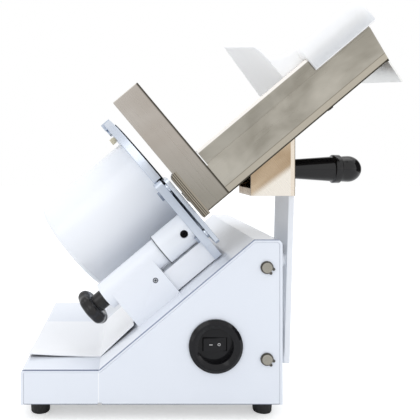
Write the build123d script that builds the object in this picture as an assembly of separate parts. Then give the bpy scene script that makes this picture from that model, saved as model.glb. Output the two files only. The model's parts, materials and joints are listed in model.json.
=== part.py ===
from build123d import *
import os
from math import atan2, cos, pi, radians, sin, sqrt, tan

# Gravity-feed electric slicer with a tilted circular blade, as separate pieces.
# Base frame while modelling, in millimetres: x runs along the base from its low end, y from the
# operator's side to the back, z up from the table. At the end all pieces shift alike, so that the
# row's origin is the bottom centre of the whole object.
# Head frame: origin at the blade's centre on its cutting plane, x along the blade's axis towards the
# food tray, y as in the base frame, z up along the blade. It leans back by the tilt.

# Clearances shared by all pieces
RUN = 0.05          # radial clearance of a turning or sliding shaft in its bore
SEAT = 0.1          # clearance of a fixed piece in its seat
GAP = 0.3           # gap between pieces that pass each other
OVERRUN = 2.0       # how far a cutting body runs past the face it cuts
TILT = 40.0         # degrees that the blade leans from upright

# Base
BASE_LENGTH = 301.0
BASE_DEPTH = 300.0
SHEET = 3.0
PLATFORM_TOP = 58.0
PLATFORM_LENGTH = 89.9
BASE_TOP = 208.0
TOP_CORNER_R = 7.0
LOW_CORNER_R = 4.0
PANEL_NOTCH_WIDTH = 4.0
PANEL_NOTCH_HEIGHT = 2.0
PANEL_NOTCH_AT = 90.8
BOTTOM_SHEET = 2.0

# Feet
FOOT_HEIGHT = 18.0
FOOT_TOP_R = 12.0
FOOT_TIP_R = 11.0
FOOT_INSET_LEFT = 18.8
FOOT_INSET_RIGHT = 17.2
FOOT_INSET_DEPTH = 26.0
FOOT_RECESS_R = 5.5
FOOT_RECESS_DEPTH = 9.0
FOOT_SCREW_R = 2.4
FOOT_SCREW_HEAD_R = 4.6
FOOT_SCREW_HEAD = 2.6
FOOT_SCREW_TIP = 6.0

# Slide rods of the carriage and their retaining rings
ROD_R = 6.0
ROD_X = 282.8
ROD_UPPER_Z = 176.0
ROD_LOWER_Z = 70.7
ROD_STANDOUT = 3.2
CLIP_WIRE = 1.2
CLIP_OUTER_R = 7.4
CLIP_INNER_R = 5.5
CLIP_EAR_R = 1.7
CLIP_MOUTH = 4.0
CLIP_EAR_TURN = -35.0

# Slots in the base's right wall
SLOT_MARGIN = 2.0
SLOT_SIDE = 2.0

# Switch
SWITCH_X = 224.0
SWITCH_Z = 85.6
BEZEL_R = 31.0
BEZEL_PROUD = 5.0
BEZEL_LIP_R = 27.5
BEZEL_MOUTH_R = 20.5
BEZEL_BARREL_R = 26.0
BEZEL_FLOOR_Y = 6.0
BEZEL_FLOOR = 3.5
ROCKER_WIDTH = 27.0
ROCKER_HEIGHT = 15.0
ROCKER_DEPTH = 7.0
ROCKER_PROUD = 2.5
ROCKER_THROW = 12.0
ROCKER_END_GAP = 0.8
PIVOT_R = 1.0
PIVOT_LENGTH = 1.5
PIVOT_SETBACK = 1.5
SWITCH_BODY_WIDTH = 36.0
SWITCH_BODY_HEIGHT = 24.0
SWITCH_BODY_DEPTH = 26.0
SWITCH_WALL = 2.0
TERMINAL_WIDTH = 6.3
TERMINAL_THICKNESS = 0.8
TERMINAL_LENGTH = 9.0
TERMINAL_PITCH = 14.0

# Receiving sheet
RECEIVER_SHEET = 1.2
RECEIVER_NEAR = 41.0
RECEIVER_FAR = 186.0
RECEIVER_LEFT = 1.8
RECEIVER_RIGHT = 131.0

# Head position, from the fold between the platform and the slope
BLADE_ALONG_SLOPE = 200.8
BLADE_ABOVE_SLOPE = 115.5
BLADE_Y = 165.0

# Blade and its drive shaft
BLADE_R = 100.0
BLADE_THICKNESS = 4.0
BLADE_FACE_DROP = 1.2
BLADE_GRIND_R = 86.0
BLADE_BACK_R = 92.0
BLADE_LAND = 0.3
BLADE_BORE_R = 15.0
HUB_R = 34.0
HUB_THICKNESS = 8.0
SHAFT_R = 10.0
SHAFT_END = -53.0
HUB_COVER_R = 40.0
HUB_COVER_THICKNESS = 2.0
BLADE_SCREW_R = 2.4
BLADE_SCREW_HEAD_R = 4.8
BLADE_SOCKET = 1.2
BLADE_SCREW_LENGTH = 9.0
BLADE_SCREW_CIRCLE = 26.0
BLADE_SCREW_COUNT = 4

# Ring guard round the blade
RING_R = 110.0
RING_BORE_R = 101.5
RING_DEPTH = 13.0
RING_PLATE = 4.0
RING_FACE_DROP = 2.5
RING_EYE_R = 56.0
RING_SECTOR_R = 98.5
RING_SECTOR_TOP = 5.0
RING_SECTOR_BOTTOM = -99.0
RING_SCREW_CIRCLE = 62.0
RING_SCREW_COUNT = 6
RING_SCREW_R = 2.4
RING_SCREW_HEAD_R = 4.3
RING_SCREW_HEAD = 2.5
RING_SCREW_LENGTH = 12.0
RING_BLOCK_WIDTH = 14.0
RING_BLOCK_RISE = 1.2
RING_BLOCK_BACK = -17.0
RING_BLOCK_FRONT = -2.5
RING_BLOCK_BOTTOM = 101.0
RING_BLOCK_HOLE_R = 2.0
RING_BOSS_R = 6.0
RING_BOSS_HEIGHT = 3.0
RING_BOSS_AT = 96.0
RING_BOSS_HOLE_R = 1.8
THUMB_SCREW_AT = 83.0
THUMB_SCREW_R = 2.4
THUMB_HEAD_R = 4.6
THUMB_HEAD = 8.0
THUMB_COLLAR = 1.5
THUMB_GRIPS = 12
THUMB_GRIP_R = 0.6

# Motor housing, coaxial with the blade
DRUM_R = 73.5
DRUM_WALL = 3.5
DRUM_LEFT = -159.0
END_CAP = 6.0
END_CAP_SPIGOT = 3.0
END_CAP_ROUND = 4.0
END_BOSS_R = 24.0
END_BOSS = 11.0
PEDESTAL_LEFT = -128.0
PEDESTAL_RIGHT = -42.0
PEDESTAL_HALF_DEPTH = 38.0
PEDESTAL_ROOT = 55.0
PEDESTAL_WIRE_R = 12.0
PEDESTAL_CORNER_R = 10.0
FLANGE_MARGIN = 9.0
FLANGE_THICKNESS = 7.0
FLANGE_BOLT_INSET = 7.0
BOLT_R = 3.0
BOLT_HEAD_R = 5.0
BOLT_HEAD = 5.0
BOLT_GRIP = 5.5
SOCKET_R = 2.9
SOCKET_DEPTH = 3.0

# Gearbox and motor inside the housing
FRONT_PLATE_LEFT = -20.0
FRONT_PLATE_RIGHT = -13.3
FRONT_HUB_LEFT = -38.0
FRONT_HUB_R = 30.0
BLADE_BEARING_R = 23.5
BLADE_BEARING_LEFT = -37.0
BLADE_BEARING_RIGHT = -16.4
GEAR_LEFT = -52.0
GEAR_RIGHT = -40.0
LAY_GEAR_LEFT = -66.0
LAY_GEAR_RIGHT = -56.0
PINION_LEFT = -67.5
PINION_RIGHT = -55.0
MODULE = 1.25
PRESSURE_ANGLE = 20.0
STUB_SHARE = 0.8
ROOT_SHARE = 1.05
BACKLASH = 0.16
PINION_TEETH = 14
LAY_GEAR_TEETH = 42
LAY_PINION_TEETH = 18
BLADE_GEAR_TEETH = 38
LAY_R = 5.0
LAY_LEFT = -78.0
LAY_RIGHT = -23.0
LAY_BOSS_R = 9.5
LAY_BOSS_LEFT = -36.0
MOTOR_PLATE_LEFT = -80.0
MOTOR_PLATE_RIGHT = -70.0
MOTOR_BEARING_R = 16.0
MOTOR_BEARING = 9.0
ROTOR_SHAFT_R = 7.5
ROTOR_SHAFT_LEFT = -150.5
ROTOR_LEFT = -131.0
ROTOR_RIGHT = -91.0
ROTOR_R = 31.5
AIR_GAP = 0.8
STATOR_LEFT = -130.0
STATOR_RIGHT = -92.0
WINDING_INNER_R = 36.0
WINDING_OUTER_R = 54.0
WINDING_LENGTH = 8.0
THROUGH_BOLT_CIRCLE = 61.0
THROUGH_BOLT_R = 2.4
THROUGH_BOLT_HEAD_R = 4.2
THROUGH_BOLT_HEAD = 3.0
THROUGH_BOLT_COUNT = 4
CAPACITOR_R = 18.0
CAPACITOR_HEIGHT = 62.0
CAPACITOR_X = 150.0
CAPACITOR_Y = 210.0

# Thickness adjuster on the slope
ADJUST_Y = 53.0
ADJUST_Z = -64.4
BLOCK_LEFT = -140.0
BLOCK_RIGHT = -75.0
BLOCK_NEAR = 35.0
BLOCK_FAR = 71.0
BLOCK_CHEEK_NEAR = 6.0
BLOCK_CHEEK_FAR = 4.0
BLOCK_HEEL = 14.0
SLEEVE_R = 17.8
SLEEVE_LEFT = -149.7
SLEEVE_RIGHT = -58.0
SPINDLE_R = 5.0
SPINDLE_RIGHT = -30.0
SPINDLE_COLLAR_R = 9.0
SPINDLE_COLLAR = 3.0
BLOCK_BOLT_INSET = 7.0
ROLL_PIN_R = 2.6
ROLL_PIN_BORE_R = 1.5
ROLL_PIN_LENGTH = 3.0
ROLL_PIN_X = -88.2
ROLL_PIN_Z = -85.4

# Thickness knob
KNOB_HUB_R = 11.3
KNOB_HUB_LEFT = -163.0
KNOB_LEFT = -179.0
KNOB_R = 24.0
KNOB_LOBES = 8
KNOB_SCALLOP_R = 6.6
KNOB_SCALLOP_CENTRE_R = 28.0
KNOB_ROUND = 2.5
KNOB_RECESS_R = 7.0
KNOB_RECESS = 3.0
KNOB_SCREW_R = 2.0
KNOB_SCREW_HEAD_R = 4.0
KNOB_SCREW_HEAD = 2.2
KNOB_SCREW_LENGTH = 16.0
KNOB_PIN_TURN = 22.5

# Gauge plate and what carries it; it draws back from the blade plane
GAUGE_TRAVEL = 12.0
CUP_R = 20.6
CUP_WALL = 2.0
CUP_RIM = -60.4
CUP_FLOOR = -42.0
CUP_END = -16.3
CUP_BORE_END = -17.5
CUP_HOLE_R = 5.0
CUP_HOLE_DEPTH = 9.0
CUP_HOLE_X = -25.5
GRUB_R = 4.6
GRUB_DEPTH = 6.0
GRUB_SOCKET_R = 2.2
BAR_TOP = -85.9
BAR_BOTTOM = -113.9
BAR_END_GAP = 2.0
CARRIER_LEFT = -16.2
CARRIER_RIGHT = -6.2
CARRIER_TOP = 3.5
CARRIER_BOTTOM = -93.0
CARRIER_NEAR = 26.0
CARRIER_FAR = 60.0
CARRIER_CORNER_R = 5.0
PLATE_FRONT = 1.9
PLATE_THICKNESS = 5.4
PLATE_NEAR = 12.0
PLATE_TOP = 2.5
PLATE_BOTTOM = -95.0
PLATE_EDGE_R = 102.8
PLATE_CORNER_R = 6.0
PLATE_SCREW_R = 2.4
PLATE_SCREW_HEAD_R = 4.2
PLATE_SCREW_HEAD = 3.0
PLATE_POST_R = 6.0
PLATE_SCREW_INSET = 13.0
BAR_SCREW_PITCH = 14.0
BAR_SCREW_GRIP = 10.0
BAR_EDGE_R = 0.6

# Carriage: bearing block and guide inside the base, arm outside it
CARRIAGE_NEAR = 35.0
CARRIAGE_DEPTH = 60.0
CARRIAGE_TRAVEL = 190.0
BEARING_BLOCK_HALF = 13.0
BLOCK_ROUND = 2.2
NECK_HALF = 9.0
BUSH_R = 8.0
BUSH_LENGTH = 18.0
GUIDE_HALF = 10.0
GUIDE_NECK_HALF = 6.0
GUIDE_DEPTH = 24.0
ARM_LEFT = 303.3
ARM_RIGHT_TOP = 325.2
ARM_RIGHT_BOTTOM = 319.6
ARM_BOTTOM = 51.5
ARM_THICKNESS = 6.6
ARM_BOSS_R = 9.0
TONGUE_LEFT = 318.6
TONGUE_INSET = 6.0
TONGUE_TOP = 303.0
ARM_SCREW_R = 2.9
ARM_SCREW_HEAD_R = 5.0
ARM_SCREW_HEAD = 4.0
ARM_SCREW_GRIP = 9.0
ARM_SCREW_PITCH = 32.0
ARM_END_R = 4.0

# Bracket between the arm and the tray, folded from sheet
BRACKET_LEFT = 271.3
BRACKET_RIGHT = 325.0
BRACKET_BOTTOM = 256.3
BRACKET_NEAR = 30.0
BRACKET_FAR = 97.0
BRACKET_SHEET = 2.0
BRACKET_LIP = 7.0
BRACKET_BOLT_PITCH = 34.0
BRACKET_BOLT_Z = 272.0

# Carriage handle
HANDLE_Z = 288.5
HANDLE_Y = 63.0
HANDLE_LENGTH = 92.5
HANDLE_NECK_R = 11.7
HANDLE_COLLAR_R = 17.9
HANDLE_COLLAR_LEFT = 56.5
HANDLE_COLLAR_WIDTH = 8.2
HANDLE_GRIP_R = 15.7
HANDLE_BULB_R = 16.4
STUD_R = 4.0
STUD_GRIP = 22.0
STUD_HEAD_R = 7.0
STUD_HEAD = 5.0

# Food tray
TRAY_NEAR = -25.0
TRAY_FAR = 155.0
TRAY_SHEET = 1.8
TRAY_LEFT = 9.0
TRAY_END = 281.5
TRAY_END_LEAN = 10.0
TRAY_TOP = 6.9
TRAY_UNDERSIDE = -52.2
TRAY_FLANGE = 10.0
TRAY_LIP = 15.0
TRAY_JOGGLE_Z = -11.3
TRAY_JOGGLE = 1.0
APRON_DROP = 28.5
APRON_LEAN = 6.3
TRAY_WALL_LEFT = 44.0
FENCE_LEFT = 7.3
FENCE_RIGHT = 42.5
FENCE_TOP = 106.9
FENCE_BOTTOM = -52.0
FENCE_SHEET = 2.0
FENCE_RETURN = 9.0
STRIP_LEFT = 3.0
STRIP_RIGHT = 11.5
STRIP_TOP = 4.5
STRIP_BOTTOM = -54.5
STRIP_NEAR_INSET = 0.3
STRIP_DEPTH = 12.0
STRIP_CORNER_R = 6.0
STRIP_GROOVE = 1.0
STRIP_GROOVE_COUNT = 3
TRAY_BOLT_R = 2.9
TRAY_BOLT_HEAD_R = 3.8
TRAY_BOLT_HEAD = 2.6
TRAY_STOP_X = 192.0

# Pusher
PUSHER_CAP_LEFT = 202.0
PUSHER_CAP_RIGHT = 288.5
PUSHER_CAP_TOP = 23.0
PUSHER_SKIRT = 2.5
PUSHER_SKIRT_BOTTOM = -9.3
PUSHER_SHELL = 3.0
PUSHER_PLATE_X = 172.6
PUSHER_PLATE = 3.5
PUSHER_PLATE_NEAR = -8.0
PUSHER_PLATE_TOP_NEAR = 53.5
PUSHER_PLATE_TOP_FAR = 80.4
PUSHER_PLATE_FAR_TOP = 90.0
PUSHER_PLATE_FAR_BOTTOM = 122.0
PUSHER_PLATE_CLEAR = 2.0
PUSHER_WEB = 3.5
PUSHER_ROUND = 9.0
PUSHER_END_ROUND = 13.0

# Cable gland in the far panel
GLAND_X = 60.0
GLAND_Z = 38.0
GLAND_HEX_R = 9.5
GLAND_HEX = 5.0
GLAND_DOME_R = 8.0
GLAND_DOME = 9.0
GLAND_BORE_R = 3.4
GLAND_THREAD_R = 6.0
GLAND_NUT = 4.0
GLAND_TAIL = 9.0

# Worked out from the values above
CASE_BOTTOM = FOOT_HEIGHT
SLOPE_RUN = (BASE_TOP - PLATFORM_TOP) / tan(radians(TILT))
BLADE_X = PLATFORM_LENGTH + BLADE_ALONG_SLOPE * cos(radians(TILT)) - BLADE_ABOVE_SLOPE * sin(radians(TILT))
BLADE_Z = PLATFORM_TOP + BLADE_ALONG_SLOPE * sin(radians(TILT)) + BLADE_ABOVE_SLOPE * cos(radians(TILT))
HEAD = Pos(BLADE_X, BLADE_Y, BLADE_Z) * Rot(0, -TILT, 0)
SLOPE_Z = -BLADE_ABOVE_SLOPE
DRUM_BORE_R = DRUM_R - DRUM_WALL
CAP_LEFT = DRUM_LEFT
CAP_RIGHT = DRUM_LEFT + END_CAP
LAY_OFFSET = MODULE * (PINION_TEETH + LAY_GEAR_TEETH) / 2
ADJUST_LOCAL_Y = ADJUST_Y - BLADE_Y
ARM_TOP = BRACKET_BOTTOM
PIVOT_Y = BEZEL_FLOOR_Y + PIVOT_SETBACK
BAR_LEFT = BLOCK_LEFT + BLOCK_HEEL + BAR_END_GAP + GAUGE_TRAVEL
LOW, MID = Align.MIN, Align.CENTER


def head_y(y):
    """A base-frame y in the head frame."""
    return y - BLADE_Y


def block(x0, x1, y0, y1, z0, z1):
    """A box between two corners."""
    return Pos(x0, y0, z0) * Box(x1 - x0, y1 - y0, z1 - z0, align=(LOW, LOW, LOW))


def bar_x(r, x0, x1, y=0, z=0):
    """A cylinder along x."""
    return Pos(x0, y, z) * Rot(0, 90, 0) * Cylinder(r, x1 - x0, align=(MID, MID, LOW))


def bar_y(r, y0, y1, x=0, z=0):
    """A cylinder along y."""
    return Pos(x, y0, z) * Rot(-90, 0, 0) * Cylinder(r, y1 - y0, align=(MID, MID, LOW))


def bar_z(r, z0, z1, x=0, y=0):
    """A cylinder along z."""
    return Pos(x, y, z0) * Cylinder(r, z1 - z0, align=(MID, MID, LOW))


def spun_x(points):
    """A body turned about x from points (x, radius)."""
    return revolve(make_face(Polyline(*points, close=True)), Axis.X)


def sheet_xz(points, y0, y1):
    """A flat body from points (x, z), between two depths."""
    outline = [(x, 0, z) for x, z in points]
    face = make_face(Polyline(*outline, close=True))
    return Pos(0, y0, 0) * extrude(face, amount=y1 - y0, dir=(0, 1, 0))


def around_x(r, count, start=0):
    """Places on a circle about x, as (y, z)."""
    turns = [radians(start + 360 * i / count) for i in range(count)]
    return [(r * cos(a), r * sin(a)) for a in turns]


def socket_screw(r, head_r, head, length, socket_r, socket_depth):
    """A cylinder-head screw, head below z = 0 and shank above it."""
    body = bar_z(head_r, -head, 0) + bar_z(r, 0, length)
    return body - Pos(0, 0, -head) * extrude(RegularPolygon(socket_r, 6), socket_depth)


def involute_gear(teeth, x0, x1, phase):
    """A spur gear about x with stub teeth; phase turns it, in degrees."""
    pitch_r = MODULE * teeth / 2
    base_r = pitch_r * cos(radians(PRESSURE_ANGLE))
    tip_r = pitch_r + STUB_SHARE * MODULE
    root_r = pitch_r - ROOT_SHARE * MODULE
    half_tooth = (pi * MODULE / 2 - BACKLASH) / 2 / pitch_r

    def involute(r):
        roll = sqrt(max(r * r / base_r / base_r - 1, 0))
        return roll - atan2(roll, 1)

    low_r = max(root_r, base_r)
    radii = [low_r + (tip_r - low_r) * k / 3 for k in range(4)]
    flank = [(r, half_tooth + involute(pitch_r) - involute(r)) for r in radii]
    if root_r < base_r:
        flank = [(root_r, flank[0][1])] + flank
    points = []
    for tooth in range(teeth):
        centre = radians(phase) + 2 * pi * tooth / teeth
        side = [(r, centre - a) for r, a in flank] + [(r, centre + a) for r, a in reversed(flank)]
        points += [(r * cos(a), r * sin(a)) for r, a in side]
    face = make_face(Polyline(*[(0, y, z) for y, z in points], close=True))
    return Pos(x0, 0, 0) * extrude(face, amount=x1 - x0, dir=(1, 0, 0))


def base_outline(inset, bottom):
    """The base's side outline, drawn in by an inset and open down to a height."""
    fold = tan(radians(TILT / 2))
    return [
        (inset, bottom),
        (inset, PLATFORM_TOP - inset),
        (PLATFORM_LENGTH + inset * fold, PLATFORM_TOP - inset),
        (PLATFORM_LENGTH + SLOPE_RUN + inset * fold, BASE_TOP - inset),
        (BASE_LENGTH - inset, BASE_TOP - inset),
        (BASE_LENGTH - inset, bottom),
    ]


def rounded_profile(inset, bottom, y0, y1):
    """The base's side outline as a solid with its outer corners rounded."""
    body = sheet_xz(base_outline(inset, bottom), y0, y1)
    top_right = body.edges().filter_by(Axis.Y).filter_by(lambda e: e.center().Z > BASE_TOP - inset - GAP)
    body = fillet(top_right.sort_by(Axis.X)[-1], TOP_CORNER_R - inset)
    if LOW_CORNER_R > inset:
        left = body.edges().filter_by(Axis.Y).filter_by(lambda e: e.center().X < inset + GAP)
        body = fillet(left.sort_by(Axis.Z)[-1], LOW_CORNER_R - inset)
    return body


def slope_bolt_places():
    """Bolts of the motor housing through the slope, in the head frame."""
    x0 = PEDESTAL_LEFT - FLANGE_MARGIN + FLANGE_BOLT_INSET
    x1 = PEDESTAL_RIGHT + FLANGE_MARGIN - FLANGE_BOLT_INSET
    y1 = PEDESTAL_HALF_DEPTH + FLANGE_MARGIN - FLANGE_BOLT_INSET
    return [(x, y) for x in (x0, x1) for y in (-y1, y1)]


def block_bolt_places():
    """Bolts of the adjuster block through the slope, in the head frame."""
    x = BLOCK_LEFT + BLOCK_BOLT_INSET
    y0 = head_y(BLOCK_NEAR) + BLOCK_BOLT_INSET
    y1 = head_y(BLOCK_FAR) - BLOCK_BOLT_INSET
    return [(x, y0), (x, y1)]


def base_shell():
    """Sheet folded over the platform, the slope, the top and both ends."""
    body = rounded_profile(0, CASE_BOTTOM, 0, BASE_DEPTH)
    body -= rounded_profile(SHEET, CASE_BOTTOM - OVERRUN, -OVERRUN, BASE_DEPTH + OVERRUN)
    slot_y0 = CARRIAGE_NEAR - SLOT_MARGIN
    slot_y1 = CARRIAGE_NEAR + CARRIAGE_DEPTH + CARRIAGE_TRAVEL + SLOT_MARGIN
    for z, half in ((ROD_UPPER_Z, NECK_HALF + SLOT_SIDE), (ROD_LOWER_Z, GUIDE_NECK_HALF + SLOT_SIDE)):
        inner_x = BASE_LENGTH - SHEET - OVERRUN
        body -= block(inner_x, BASE_LENGTH + OVERRUN, slot_y0, slot_y1, z - half, z + half)
    for x, y in slope_bolt_places() + block_bolt_places():
        hole = bar_z(BOLT_R + SEAT, SLOPE_Z - SHEET - OVERRUN, SLOPE_Z + OVERRUN, x, y)
        body -= HEAD * hole
    wire_x = (PEDESTAL_LEFT + PEDESTAL_RIGHT) / 2
    body -= HEAD * bar_z(PEDESTAL_WIRE_R, SLOPE_Z - SHEET - OVERRUN, SLOPE_Z + OVERRUN, wire_x)
    return body


def side_panel(y0):
    """A flat side set into the folded shell, with holes for the slide rods."""
    inset = SHEET + SEAT
    body = rounded_profile(inset, CASE_BOTTOM, y0, y0 + SHEET)
    for z in (ROD_UPPER_Z, ROD_LOWER_Z):
        body -= bar_y(ROD_R + SEAT, y0 - OVERRUN, y0 + SHEET + OVERRUN, ROD_X, z)
    return body


def base_side_near():
    body = side_panel(0)
    body -= bar_y(BEZEL_BARREL_R + SEAT, -OVERRUN, SHEET + OVERRUN, SWITCH_X, SWITCH_Z)
    half = PANEL_NOTCH_WIDTH / 2
    notch_top = CASE_BOTTOM + PANEL_NOTCH_HEIGHT
    x0, x1 = PANEL_NOTCH_AT - half, PANEL_NOTCH_AT + half
    return body - block(x0, x1, -OVERRUN, SHEET + OVERRUN, CASE_BOTTOM, notch_top)


def base_side_far():
    body = side_panel(BASE_DEPTH - SHEET)
    y0 = BASE_DEPTH - SHEET - OVERRUN
    return body - bar_y(GLAND_THREAD_R + SEAT, y0, BASE_DEPTH + OVERRUN, GLAND_X, GLAND_Z)


def foot_places():
    xs = (FOOT_INSET_LEFT, BASE_LENGTH - FOOT_INSET_RIGHT)
    ys = (FOOT_INSET_DEPTH, BASE_DEPTH - FOOT_INSET_DEPTH)
    return [(x, y) for x in xs for y in ys]


def bottom_plate():
    """Sheet that closes the base between its four walls."""
    inset = SHEET + SEAT
    top = CASE_BOTTOM + BOTTOM_SHEET
    body = block(inset, BASE_LENGTH - inset, inset, BASE_DEPTH - inset, CASE_BOTTOM, top)
    for x, y in foot_places():
        body -= bar_z(FOOT_SCREW_R + SEAT, CASE_BOTTOM - OVERRUN, top + OVERRUN, x, y)
    return body


def rubber_feet():
    foot = Cone(FOOT_TIP_R, FOOT_TOP_R, FOOT_HEIGHT, align=(MID, MID, LOW))
    foot -= bar_z(FOOT_RECESS_R, -OVERRUN, FOOT_RECESS_DEPTH)
    foot -= bar_z(FOOT_SCREW_R + SEAT, 0, FOOT_HEIGHT + OVERRUN)
    return [Pos(x, y, 0) * foot for x, y in foot_places()]


def foot_screws():
    shank = FOOT_HEIGHT - FOOT_RECESS_DEPTH + BOTTOM_SHEET + FOOT_SCREW_TIP
    screw = socket_screw(
        FOOT_SCREW_R, FOOT_SCREW_HEAD_R, FOOT_SCREW_HEAD, shank, FOOT_SCREW_R, FOOT_SCREW_HEAD / 2
    )
    return [Pos(x, y, FOOT_RECESS_DEPTH) * screw for x, y in foot_places()]


def clip_faces():
    """Where each retaining ring starts in y: outside the near and the far panel."""
    return (-GAP - CLIP_WIRE, BASE_DEPTH + GAP)


def slide_rods():
    """The two ground rods of the carriage, grooved at both ends for the retaining rings."""
    rod = bar_y(ROD_R, -ROD_STANDOUT, BASE_DEPTH + ROD_STANDOUT)
    for y in clip_faces():
        groove = bar_y(ROD_R + OVERRUN, y - SEAT, y + CLIP_WIRE + SEAT)
        rod -= groove - bar_y(CLIP_INNER_R - SEAT, y - OVERRUN, y + CLIP_WIRE + OVERRUN)
    return [Pos(ROD_X, 0, z) * rod for z in (ROD_UPPER_Z, ROD_LOWER_Z)]


def rod_clips():
    """Open retaining rings with two ears, one at each end of each rod."""
    ear_at = CLIP_OUTER_R
    ring = bar_y(CLIP_OUTER_R, 0, CLIP_WIRE)
    for side in (-1, 1):
        ring += bar_y(CLIP_EAR_R, 0, CLIP_WIRE, ear_at, side * (CLIP_MOUTH / 2 + CLIP_EAR_R / 2))
    ring -= bar_y(CLIP_INNER_R, -OVERRUN, CLIP_WIRE + OVERRUN)
    mouth = CLIP_MOUTH / 4
    ring -= block(0, CLIP_OUTER_R + CLIP_MOUTH, -OVERRUN, CLIP_WIRE + OVERRUN, -mouth, mouth)
    ring = Rot(0, -CLIP_EAR_TURN, 0) * ring
    return [Pos(ROD_X, y, z) * ring for z in (ROD_UPPER_Z, ROD_LOWER_Z) for y in clip_faces()]


def switch_bezel():
    """Round black housing of the switch, turned about y."""
    floor_back = BEZEL_FLOOR_Y + BEZEL_FLOOR
    points = [
        (BEZEL_MOUTH_R, BEZEL_FLOOR_Y),
        (BEZEL_MOUTH_R, -BEZEL_PROUD / 2),
        (BEZEL_LIP_R - BEZEL_PROUD / 2, -BEZEL_PROUD),
        (BEZEL_LIP_R, -BEZEL_PROUD),
        (BEZEL_R, -BEZEL_PROUD / 2),
        (BEZEL_R, 0),
        (BEZEL_BARREL_R, 0),
        (BEZEL_BARREL_R, floor_back),
        (0, floor_back),
        (0, BEZEL_FLOOR_Y),
    ]
    body = revolve(make_face(Polyline(*points, close=True)), Axis.Y)
    width, height = ROCKER_WIDTH / 2 + ROCKER_END_GAP, ROCKER_HEIGHT / 2 + GAP
    body -= block(-width, width, BEZEL_FLOOR_Y - OVERRUN, floor_back + OVERRUN, -height, height)
    pivot_z = height + PIVOT_LENGTH
    body -= bar_z(PIVOT_R + RUN, -pivot_z, pivot_z, 0, PIVOT_Y)
    return Pos(SWITCH_X, 0, SWITCH_Z) * body


def rocker_switch():
    """Rocker with two flanks that meet over its pivot."""
    half = ROCKER_WIDTH / 2
    front = BEZEL_FLOOR_Y - ROCKER_PROUD
    sunk = half * tan(radians(ROCKER_THROW))
    points = [
        (-half, front),
        (0, front + ROCKER_PROUD / 4),
        (half, front + sunk),
        (half - ROCKER_PROUD / 2, BEZEL_FLOOR_Y + ROCKER_DEPTH - ROCKER_PROUD / 2),
        (half / 2, BEZEL_FLOOR_Y + ROCKER_DEPTH),
        (-half / 2, BEZEL_FLOOR_Y + ROCKER_DEPTH),
        (-half + ROCKER_PROUD, BEZEL_FLOOR_Y + ROCKER_PROUD),
        (-half, BEZEL_FLOOR_Y),
    ]
    face = make_face(Polyline(*points, close=True))
    body = Pos(0, 0, -ROCKER_HEIGHT / 2) * extrude(face, amount=ROCKER_HEIGHT, dir=(0, 0, 1))
    pivot_z = ROCKER_HEIGHT / 2 + PIVOT_LENGTH
    body += bar_z(PIVOT_R, -pivot_z, pivot_z, 0, PIVOT_Y)
    return Pos(SWITCH_X, 0, SWITCH_Z) * body


def switch_body():
    """Contact housing behind the bezel, with four blade terminals."""
    y0 = BEZEL_FLOOR_Y + BEZEL_FLOOR
    y1 = y0 + SWITCH_BODY_DEPTH
    w, h = SWITCH_BODY_WIDTH / 2, SWITCH_BODY_HEIGHT / 2
    body = block(-w, w, y0, y1, -h, h)
    cave_w, cave_h = ROCKER_WIDTH / 2 + ROCKER_END_GAP, ROCKER_HEIGHT / 2 + GAP
    body -= block(-cave_w, cave_w, y0 - OVERRUN, y0 + ROCKER_DEPTH + SWITCH_WALL, -cave_h, cave_h)
    for x in (-TERMINAL_PITCH / 2, TERMINAL_PITCH / 2):
        for z in (-TERMINAL_PITCH / 2, TERMINAL_PITCH / 2):
            blade = block(
                x - TERMINAL_WIDTH / 2,
                x + TERMINAL_WIDTH / 2,
                y1,
                y1 + TERMINAL_LENGTH,
                z - TERMINAL_THICKNESS / 2,
                z + TERMINAL_THICKNESS / 2,
            )
            body += blade
    return Pos(SWITCH_X, 0, SWITCH_Z) * body


def receiving_sheet():
    """Loose folded sheet that catches the slices, on the platform and the slope's foot."""
    fold = tan(radians(TILT / 2))
    low, high = GAP, GAP + RECEIVER_SHEET
    rise = (RECEIVER_RIGHT - PLATFORM_LENGTH) * tan(radians(TILT))
    nx, nz = -sin(radians(TILT)), cos(radians(TILT))
    points = [
        (RECEIVER_LEFT, PLATFORM_TOP + low),
        (PLATFORM_LENGTH - low * fold, PLATFORM_TOP + low),
        (RECEIVER_RIGHT + low * nx, PLATFORM_TOP + rise + low * nz),
        (RECEIVER_RIGHT + high * nx, PLATFORM_TOP + rise + high * nz),
        (PLATFORM_LENGTH - high * fold, PLATFORM_TOP + high),
        (RECEIVER_LEFT, PLATFORM_TOP + high),
    ]
    return sheet_xz(points, RECEIVER_NEAR, RECEIVER_FAR)


def motor_housing():
    """Drum with its pedestal cast on, standing on the slope by a bolted flange."""
    half = PEDESTAL_HALF_DEPTH
    pedestal = block(PEDESTAL_LEFT, PEDESTAL_RIGHT, -half, half, SLOPE_Z, -PEDESTAL_ROOT)
    pedestal = fillet(pedestal.edges().filter_by(Axis.Z), PEDESTAL_CORNER_R)
    flange = block(
        PEDESTAL_LEFT - FLANGE_MARGIN,
        PEDESTAL_RIGHT + FLANGE_MARGIN,
        -half - FLANGE_MARGIN,
        half + FLANGE_MARGIN,
        SLOPE_Z,
        SLOPE_Z + FLANGE_THICKNESS,
    )
    flange = fillet(flange.edges().filter_by(Axis.Z), PEDESTAL_CORNER_R)
    body = bar_x(DRUM_R, CAP_RIGHT, -RING_DEPTH) + pedestal + flange
    body -= bar_x(DRUM_BORE_R, CAP_RIGHT - OVERRUN, -RING_DEPTH + OVERRUN)
    wire_x = (PEDESTAL_LEFT + PEDESTAL_RIGHT) / 2
    body -= bar_z(PEDESTAL_WIRE_R, SLOPE_Z - OVERRUN, -PEDESTAL_ROOT, wire_x)
    for x, y in slope_bolt_places():
        body -= bar_z(BOLT_R + SEAT, SLOPE_Z - OVERRUN, SLOPE_Z + BOLT_GRIP + SEAT, x, y)
    return HEAD * body


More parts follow.
